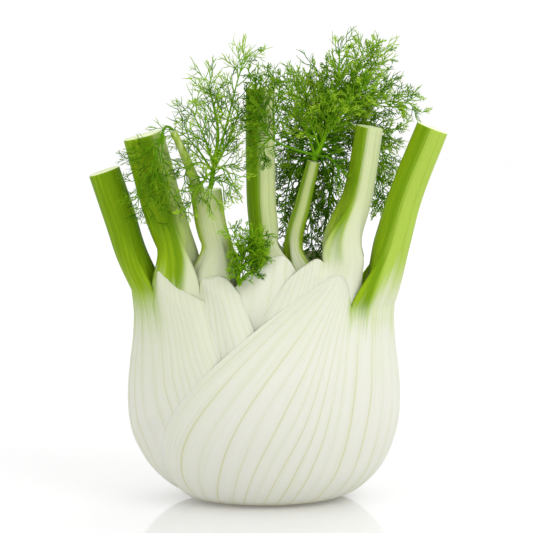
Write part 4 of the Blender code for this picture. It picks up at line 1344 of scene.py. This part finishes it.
@dataclass
class Frond:
    """A feathery leaf blade, whose first rib grows from a stalk.

    Step is the distance between side ribs and spacing that between leaflets. The
    shares are of a rib's reach: at its tip, in its side ribs and in their leaflets.
    """

    name: str
    slot: str
    ribs: tuple[Rib, ...]
    finish: FrondFinish
    seed: int
    step: float
    spacing: float
    leaflet_share: float
    thread: float = 0.19
    spread: float = 50.0
    tip_share: float = 0.6
    side_share: float = 0.85

    @property
    def node(self) -> str:
        """The CAD node that the frond belongs to."""
        return "_".join(self.name.split("_")[:2])

    def chain(self, mesh: ThreadMesh, points: np.ndarray, radii: np.ndarray, reach: np.ndarray,
              leafy: np.ndarray, bushy: float) -> None:
        """Add a rib or a side rib.

        Args:
            mesh: Where to add it.
            points: Its route, in millimetres.
            radii: Its radius at every point.
            reach: The length of the leaflets at every point.
            leafy: Whether leaflets grow at every point.
            bushy: How far leaflets roll round it, in degrees.
        """
        count = len(points)
        mesh.add(points, thick=radii * MM, reach=reach * MM, leafy=leafy,
                 bushy=np.full(count, math.radians(bushy)), tip=np.zeros(count),
                 tone=np.full(count, 0.6), thin=np.ones(count))

    def side_ribs(self, mesh: ThreadMesh, rib: Rib, steps: np.ndarray, points: np.ndarray,
                  draw: random.Random) -> None:
        """Grow side ribs on both sides of a rib.

        Args:
            mesh: Where to add them.
            rib: The rib.
            steps: Distances along the rib.
            points: The rib's points at those distances.
            draw: The frond's random numbers.
        """
        length = steps[-1]
        place = length * rib.bare
        hand = draw.choice((-1, 1))
        while place < length:
            spot, ahead = (Vector([np.interp(place + step, steps, points[:, a]) for a in range(3)])
                           for step in (-LOOK_AHEAD, LOOK_AHEAD))
            tangent = (ahead - spot).normalized()
            face = Vector((0, -1, 0)) - tangent * Vector((0, -1, 0)).dot(tangent)
            roll = math.radians(draw.uniform(-rib.bushy, rib.bushy))
            face = Matrix.Rotation(roll, 3, tangent) @ face.normalized()
            turn = math.radians(self.spread * draw.uniform(0.75, 1.2)) * hand
            way = Matrix.Rotation(turn, 3, face) @ tangent
            share = (place / length - rib.bare) / (1 - rib.bare)
            reach = rib.reach * (1 - (1 - self.tip_share) * share) * draw.uniform(0.8, 1.15)
            span = np.linspace(0, reach * self.side_share, SIDE_RIB_POINTS)
            curl = (tangent - way) * SIDE_RIB_CURL
            start = (spot + ahead) / 2
            route = np.array([start + way * s + curl * s * s for s in span])
            radii = self.thread * (SIDE_RIB_RADIUS - SIDE_RIB_TAPER * span / span[-1])
            leaflet = reach * self.leaflet_share * (1 - SIDE_LEAFLET_TAPER * span / span[-1])
            self.chain(mesh, route, radii, leaflet, span > span[-1] * SIDE_RIB_BARE, 90.0)
            place += self.step * draw.uniform(0.75, 1.25)
            hand = -hand

    def build(self, tree: FrondTree, leaflets: bpy.types.Collection) -> bpy.types.Object:
        """Grow the frond.

        Args:
            tree: The tree that grows it.
            leaflets: The leaflets to grow on it.

        Returns:
            The frond's object.
        """
        draw = random.Random(self.seed)
        mesh = ThreadMesh()
        for rib in self.ribs:
            route = np.array(rib.route, float)
            along = np.concatenate([[0], np.cumsum(np.linalg.norm(np.diff(route, axis=0), axis=1))])
            steps = np.linspace(0, along[-1], max(4, int(along[-1] / RIB_STEP)))
            points = np.stack([smooth_curve(steps, along, route[:, a]) for a in range(3)], axis=-1)
            share = steps / along[-1]
            radii = rib.radius * (1 - RIB_TAPER * share) + RIB_END
            reach = np.full(len(steps), rib.reach * self.leaflet_share)
            self.chain(mesh, points, radii, reach, share > RIB_TIP_FROM, 90.0)
            self.side_ribs(mesh, rib, steps, points, draw)
        name = self.name + "_threads"
        item = add_object(name, mesh.build(name, MM))
        return tree.apply(item, {
            "Leaflets": leaflets, "Spacing": self.spacing * MM, "Spread": math.radians(self.spread),
            "Thread Radius": self.thread * MM, "Rib Sides": RIB_SIDES, "Seed": self.seed,
            "Material": self.finish.material()})


LIGHT_FROND = FrondFinish(
    "frond_green", (0.38, 0.60, 0.035, 1), (0.17, 0.38, 0.008, 1), (0.075, 0.22, 0.003, 1))
DARK_FROND = FrondFinish(
    "frond_shade", (0.20, 0.38, 0.010, 1), (0.095, 0.25, 0.004, 1), (0.04, 0.14, 0.002, 1))
YOUNG_FROND = FrondFinish(
    "frond_young_green", (0.29, 0.53, 0.014, 1), (0.15, 0.37, 0.005, 1), (0.05, 0.17, 0.002, 1))
DEEP_FROND = FrondFinish(
    "frond_depth", (0.20, 0.42, 0.010, 1), (0.09, 0.26, 0.003, 1), (0.04, 0.14, 0.002, 1))

# Where the deep ribs of the large frond end, across and up from where they fork.
DEEP_FORK = (21.0, 6.0, 135.0)
DEEP_ENDS = ((-12, -26), (-15, -12), (-14, 3), (-12, 14), (-6, 22), (1, 23), (9, 22), (16, 17), (20, 9),
             (14, 1), (10, -9), (6, -24), (-3, -28), (0, 12), (-6, -4))


def deep_rib(across: float, up: float) -> Rib:
    """A rib that runs back from the large frond's fork, and then outwards."""
    x, y, z = DEEP_FORK
    return Rib(((x, y, z), (x + 0.45 * across, y + 7, z + 0.45 * up),
                (x + 0.75 * across, y + 10, z + 0.8 * up), (x + across, y + 11, z + up)), 0.4, 0.1, 10, 90)


FRONDS = [
    Frond("frond_large", "frond", (
        Rib(((19.0, 3.6, 130.6), (23, 4.5, 139), (26, 6, 151), (28.5, 7, 162), (29, 8, 172)), 1.0, 0.25),
        Rib(((19.5, 4, 132.5), (15, 5, 146), (10.5, 6, 155), (7.5, 6, 160)), 0.45),
        Rib(((22.5, 5, 137.5), (18.5, 7, 150), (16, 9, 157), (15.5, 9, 161)), 0.45, 0.25),
        Rib(((23.5, 5, 140.5), (24, 9, 152), (22.5, 11, 159), (22, 11, 163)), 0.45, 0.2),
        Rib(((24.5, 5, 145.5), (32.5, 9, 157), (36.5, 12, 165), (38.5, 12, 172)), 0.45, 0.2),
        Rib(((25.5, 5, 149.5), (34, 12, 158), (41.5, 15, 164), (44.5, 15, 171)), 0.45, 0.2),
        Rib(((24, 5, 141.5), (33, 13, 147.5), (44, 17, 151), (51, 18, 152), (57, 17, 151)), 0.45, 0.2),
        Rib(((24.5, 5, 144.0), (33, 10, 150.5), (41, 13, 155), (46, 13, 157)), 0.45, 0.2),
        Rib(((24, 5, 142.5), (34, 14, 142), (44, 18, 140), (50, 18, 140)), 0.45, 0.2),
        Rib(((21.5, 4, 135), (19, 0, 142), (16.5, -2, 149)), 0.4, 0.1, 9),
        Rib(((23.5, 4, 140), (28, 1, 146), (33, 0, 152)), 0.4, 0.1, 9),
        Rib(((23.5, 4, 140), (24.5, 0, 148), (24.5, -1, 154)), 0.4, 0.1, 9),
        Rib(((26, 5, 149), (33, 3, 153), (39, 3, 160)), 0.4, 0.1, 9),
        Rib(((31, 15, 138.5), (39.5, 18, 133), (42.5, 18, 124), (42.0, 17, 113)), 0.4, 0.1, 10),
        Rib(((36, 16.5, 137.0), (43.5, 19, 135.5), (48.5, 19, 127)), 0.4, 0.1, 10),
        Rib(((22.5, 5, 137.5), (31, 15, 138.5), (40, 19, 132.5), (45.5, 19, 122), (47, 17, 112)), 0.45)),
        LIGHT_FROND, seed=11, step=1.75, spacing=2.4, leaflet_share=0.78),
    Frond("frond_large_low", "frond", (
        Rib(((19.5, 4, 131.8), (23.5, 0, 132.5), (27.5, -3, 130), (29.0, -5, 123)), 0.45, 0.3, 8),
        Rib(((20.0, 5, 132.5), (13, 12, 128.5), (9, 15, 117.5), (8.5, 15, 100)), 0.45, 0.15, 10, 90),
        Rib(((21.0, 6, 134.5), (26.5, 15, 129.5), (25.5, 16, 115), (22.5, 12, 95)), 0.45, 0.15, 10, 90),
        Rib(((20.6, 6, 134.0), (20.5, 15, 128.5), (18.0, 15, 114), (19.0, 10, 93)), 0.45, 0.15, 10, 90),
        Rib(((20.6, 6, 134.0), (15.5, 13, 128.5), (13.0, 15, 116), (12.5, 15, 99)), 0.45, 0.15, 10, 90),
        Rib(((22.0, 6, 136.0), (17.0, 12, 141), (11.5, 14, 139), (7.5, 14, 129)), 0.45, 0.15, 10, 90),
        Rib(((20.6, 2, 132.5), (11, -6, 136), (4, -10, 139.5), (-1, -11, 145), (-3, -11, 154),
             (-3, -10, 163)), 0.5, 0.38, 9, 60),
        Rib(((4, -10, 139.5), (3.5, -11, 149), (4, -10, 163)), 0.35, 0.1, 9, 50),
        Rib(((1, -11, 142), (-1.5, -12, 150), (0, -11, 162)), 0.35, 0.1, 8, 50),
        Rib(((2.5, -10, 140.5), (-1, -11, 137), (-2.5, -12, 131)), 0.35, 0.1, 8, 50)),
        DARK_FROND, seed=12, step=1.9, spacing=2.3, leaflet_share=0.72),
    Frond("frond_large_depth", "frond", tuple(deep_rib(*end) for end in DEEP_ENDS),
          DEEP_FROND, seed=13, step=1.9, spacing=2.3, leaflet_share=0.72),
    Frond("frond_left", "frond", (
        Rib(((-20.4, -3.2, 120.6), (-19, -4, 130), (-17.5, -4, 142), (-19, -4, 152),
             (-21.5, -4.5, 161)), 0.9, 0.2),
        Rib(((-18.5, -4, 130), (-14, -4, 146), (-11, -4, 158), (-7.5, -4, 171)), 0.5, 0.2),
        Rib(((-19, -4, 128), (-13.5, -6, 139), (-10.5, -6, 147), (-9.5, -6, 152)), 0.45, 0.2),
        Rib(((-19, -4, 129), (-22.5, -8, 140), (-25.5, -9, 147), (-27.5, -9, 151)), 0.45, 0.2),
        Rib(((-19.5, -4, 127), (-26, -4, 136.5), (-30.0, -7, 141), (-33.5, -8.5, 143.5)), 0.45, 0.25),
        Rib(((-19.3, -3.9, 127.5), (-24.5, -8, 131), (-28, -11, 130), (-30, -12, 126)), 0.4, 0.15, 9),
        Rib(((-19.3, -3.9, 127.5), (-21.5, -10.5, 126), (-26, -15, 120), (-28.5, -16, 114)), 0.4, 0.2, 8),
        Rib(((-19.3, -3.9, 126.5), (-19.5, -10, 126), (-20, -13.5, 120), (-20.5, -14.5, 116)), 0.4, 0.2, 8),
        Rib(((-19.8, -3.6, 122.5), (-22, -7, 125), (-25, -9.5, 121)), 0.35, 0.05, 7),
        Rib(((-19.8, -3.6, 122.5), (-17, -8, 125), (-15, -10.5, 120)), 0.35, 0.05, 7),
        Rib(((-19.8, -3.6, 123), (-20, -9, 126), (-21, -12, 119)), 0.35, 0.05, 7),
        Rib(((-19.4, -4, 126), (-17.5, -7, 133), (-15, -9, 138)), 0.35, 0.1, 9),
        Rib(((-19, -4, 129), (-14.5, -9, 128), (-11.0, -12, 122)), 0.4, 0.15, 9)),
        LIGHT_FROND, seed=23, step=3.5, spacing=3.0, leaflet_share=1.05),
    Frond("frond_hanging", "shaded_frond", (
        Rib(((-34.55, -11.4, 143.7), (-36.4, -12.6, 145.2), (-39.5, -14, 139), (-42, -15.5, 125),
             (-44, -16, 113)), 0.5, 0.25),
        Rib(((-38, -13.5, 142), (-44, -15, 136.5), (-48, -15.5, 133)), 0.35, 0.15, 9),
        Rib(((-38, -13.5, 142), (-38.5, -16, 134), (-36.5, -16.5, 126)), 0.35, 0.15, 9),
        Rib(((-41, -14.5, 131.5), (-46, -16, 124), (-48.5, -16, 119)), 0.35, 0.15, 9),
        Rib(((-41.5, -15, 128.5), (-36, -17, 122), (-33, -17, 117)), 0.35, 0.15, 9)),
        DARK_FROND, seed=37, step=2.7, spacing=3.2, leaflet_share=1.1, thread=0.15),
    Frond("frond_young", "shaded_frond", (
        Rib(((-9.5, -15.2, 80.6), (-9.5, -15, 88), (-8, -15, 95), (-5.5, -15, 101.5), (-4.5, -14.5, 105)),
            0.7, 0.1, 8, 90),
        Rib(((-9.4, -15, 84), (-6, -16, 86.5), (-3.5, -16.5, 87.5)), 0.4, 0.1, 6, 90),
        Rib(((-9.4, -15, 86.5), (-5.5, -16, 89), (-1.5, -16.5, 90.5)), 0.4, 0.1, 7.5, 90),
        Rib(((-9, -15, 91.5), (-4, -16, 94.5), (0, -16, 96)), 0.4, 0.1, 8, 90),
        Rib(((-9, -15, 90), (-6, -15.5, 96), (-4, -16, 100)), 0.4, 0.1, 9, 90),
        Rib(((-9.4, -15, 88), (-10, -16, 93), (-9, -16, 97)), 0.4, 0.1, 6, 90),
        Rib(((-8, -15, 95), (-10, -15, 102), (-12, -15, 106)), 0.4, 0.2, 8, 60),
        Rib(((-6.5, -15, 98.5), (-2.5, -15.5, 102), (-0.5, -15.5, 104)), 0.4, 0.1, 8, 80)),
        YOUNG_FROND, seed=51, step=1.6, spacing=1.5, leaflet_share=0.72, thread=0.17),
]


@dataclass(frozen=True)
class SideBranch:
    """The side branch of the third stalk on the left, which carries the hanging frond."""

    name: str = "side_branch"
    slot: str = "pale_leaf"
    node: str = "leaf_left_third"
    route: tuple[tuple[float, float, float], ...] = (
        (-23.0, -3.4, 110), (-25.6, -6.0, 121), (-29.4, -8.8, 132), (-34.2, -11.2, 143.0))
    radii: tuple[float, ...] = (2.4, 2.2, 1.7, 1.3)
    sides: int = 24
    rows: int = 40
    finish: BranchFinish = BranchFinish()

    def build(self, tree: FrondTree, leaflets: bpy.types.Collection) -> bpy.types.Object:
        """Make the branch as a tapering tube.

        Args:
            tree: The tree that makes tubes along paths.
            leaflets: The leaflets, of which the branch has none.

        Returns:
            The branch's object.
        """
        route = np.array(self.route, float)
        shares = np.linspace(0, len(route) - 1, self.rows)
        marks = range(len(route))
        points = np.stack([smooth_curve(shares, marks, route[:, a]) for a in range(3)], axis=-1)
        radii = smooth_curve(shares, marks, self.radii)
        mesh = ThreadMesh()
        zeros = np.zeros(len(points))
        mesh.add(points, thick=radii * MM, reach=zeros, leafy=zeros, bushy=zeros, tip=zeros, tone=zeros,
                 thin=zeros)
        return tree.apply(add_object(self.name, mesh.build(self.name, MM)), {
            "Leaflets": leaflets, "Spacing": 1.0, "Spread": 0.0, "Thread Radius": 0.0,
            "Rib Sides": self.sides, "Seed": 1, "Material": self.finish.material()})


@dataclass(frozen=True)
class Stem:
    """The short stem, whose flat cut face the bulb stands on."""

    node: str = "stem_plate"
    finish: StemFinish = StemFinish()

    def dress(self) -> None:
        """Give the stem's own solid its finish."""
        stem = frame["nodes"][self.node]
        stem.data.materials.clear()
        stem.data.materials.append(self.finish.material())
        log.info("%s: dressed", self.node)


@dataclass(frozen=True)
class Studio:
    """The camera, the pale floor and the soft lights."""

    floor_side: float = 40.0
    floor_colour: Colour = (0.70, 0.70, 0.70, 1)
    floor_glow: float = 0.12
    white: Colour = (1.0, 1.0, 1.0, 1)
    world_strength: float = 1.0
    light_size: float = 0.6
    aim_height: float = 0.08

    def lift(self) -> float:
        """Height of the picture's centre above the ground, in metres."""
        pixels = GROUND_ROW - PHOTO_SIDE / 2
        return pixels * MM_PER_PIXEL / math.cos(math.radians(CAMERA_ELEVATION)) * MM

    def build(self) -> None:
        """Set up the studio."""
        self.camera()
        self.floor()
        self.world()
        self.light("key_light", (0.62, -0.50, 0.62), 3.2)
        self.light("fill_light", (-0.70, -0.55, 0.45), 1.15)
        self.light("back_light", (0.35, 0.75, 0.6), 2.0)

    def camera(self) -> None:
        """Place the camera at the photograph's angle."""
        data = bpy.data.cameras.new("camera")
        data.sensor_width = SENSOR_WIDTH
        data.lens = SENSOR_WIDTH * CAMERA_DISTANCE / (PHOTO_SIDE * MM_PER_PIXEL * MM)
        data.clip_end = 50.0
        camera = add_object("camera", data)
        target = Vector(((PHOTO_SIDE / 2 - AXIS_COLUMN) * MM_PER_PIXEL * MM, 0, self.lift()))
        tilt = math.radians(CAMERA_ELEVATION)
        camera.location = target + Vector((0, -math.cos(tilt), math.sin(tilt))) * CAMERA_DISTANCE
        camera.rotation_euler = (math.pi / 2 - tilt, 0, 0)
        bpy.context.scene.camera = camera

    def floor(self) -> None:
        """Lay the pale floor."""
        mesh = bpy.data.meshes.new("floor")
        half = self.floor_side / 2
        corners = [(-half, -half, 0), (half, -half, 0), (half, half, 0), (-half, half, 0)]
        mesh.from_pydata(corners, [], [(0, 1, 2, 3)])
        floor = add_object("floor", mesh)
        g = Graph("floor_finish")
        grain = g.noise(g.place(), 8.0, 2.0)
        mesh.materials.append(g.finish({
            "Base Color": self.floor_colour, "Roughness": grain * 0.04 + 0.06, "Specular IOR Level": 0.6,
            "Emission Color": self.white, "Emission Strength": self.floor_glow}))

    def world(self) -> None:
        """Make the white surroundings."""
        world = bpy.data.worlds.new("surroundings")
        world.use_nodes = True
        background = world.node_tree.nodes["Background"]
        background.inputs["Color"].default_value = self.white
        background.inputs["Strength"].default_value = self.world_strength
        bpy.context.scene.world = world
        bpy.context.scene.view_settings.view_transform = "Standard"

    def light(self, name: str, place: tuple[float, float, float], power: float) -> None:
        """Hang a square light aimed at the bulb.

        Args:
            name: Its name.
            place: Where it hangs, in metres.
            power: Its power, in watts.
        """
        data = bpy.data.lights.new(name, "AREA")
        data.shape = "SQUARE"
        data.size = self.light_size
        data.energy = power
        light = add_object(name, data)
        light.location = place
        aim = Vector((0, 0, self.aim_height)) - Vector(place)
        light.rotation_euler = aim.to_track_quat("-Z", "Y").to_euler()


def place_piece(piece: bpy.types.Object, slot: str, *nodes: str) -> None:
    """Hand a finished piece to the frame.

    Args:
        piece: The piece.
        slot: The record's material slot.
        *nodes: The CAD nodes that it stands for.
    """
    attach(piece, BODY)
    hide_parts(*nodes)
    log.info("%s: %d faces", piece.name, len(piece.data.polygons))


def build_leaves() -> None:
    """Build the seven leaves, outermost first."""
    for index, leaf in enumerate(LEAVES):
        leaf.outer = LEAVES[:index]
        place_piece(leaf.build(), leaf.slot, leaf.name)


def build_fronds() -> None:
    """Grow the fronds and the side branch."""
    leaflets = bpy.data.collections.new("leaflets")
    for number in range(LEAFLET_KINDS):
        leaflet = Leaflet(LEAFLET_ANGLE + number * LEAFLET_ANGLE_STEP)
        leaflets.objects.link(leaflet.build(f"leaflet_{number}", number + 1))
    tree = FrondTree()
    branch = SideBranch()
    place_piece(branch.build(tree, leaflets), branch.slot, branch.node)
    for frond in FRONDS:
        place_piece(frond.build(tree, leaflets), frond.slot, frond.node)
    for item in list(leaflets.objects):
        bpy.data.objects.remove(item)
    bpy.data.collections.remove(leaflets)


def main() -> None:
    """Build the whole picture."""
    logging.basicConfig(level=logging.INFO)
    build_leaves()
    Stem().dress()
    build_fronds()
    Studio().build()


if __name__ == "__main__":
    main()
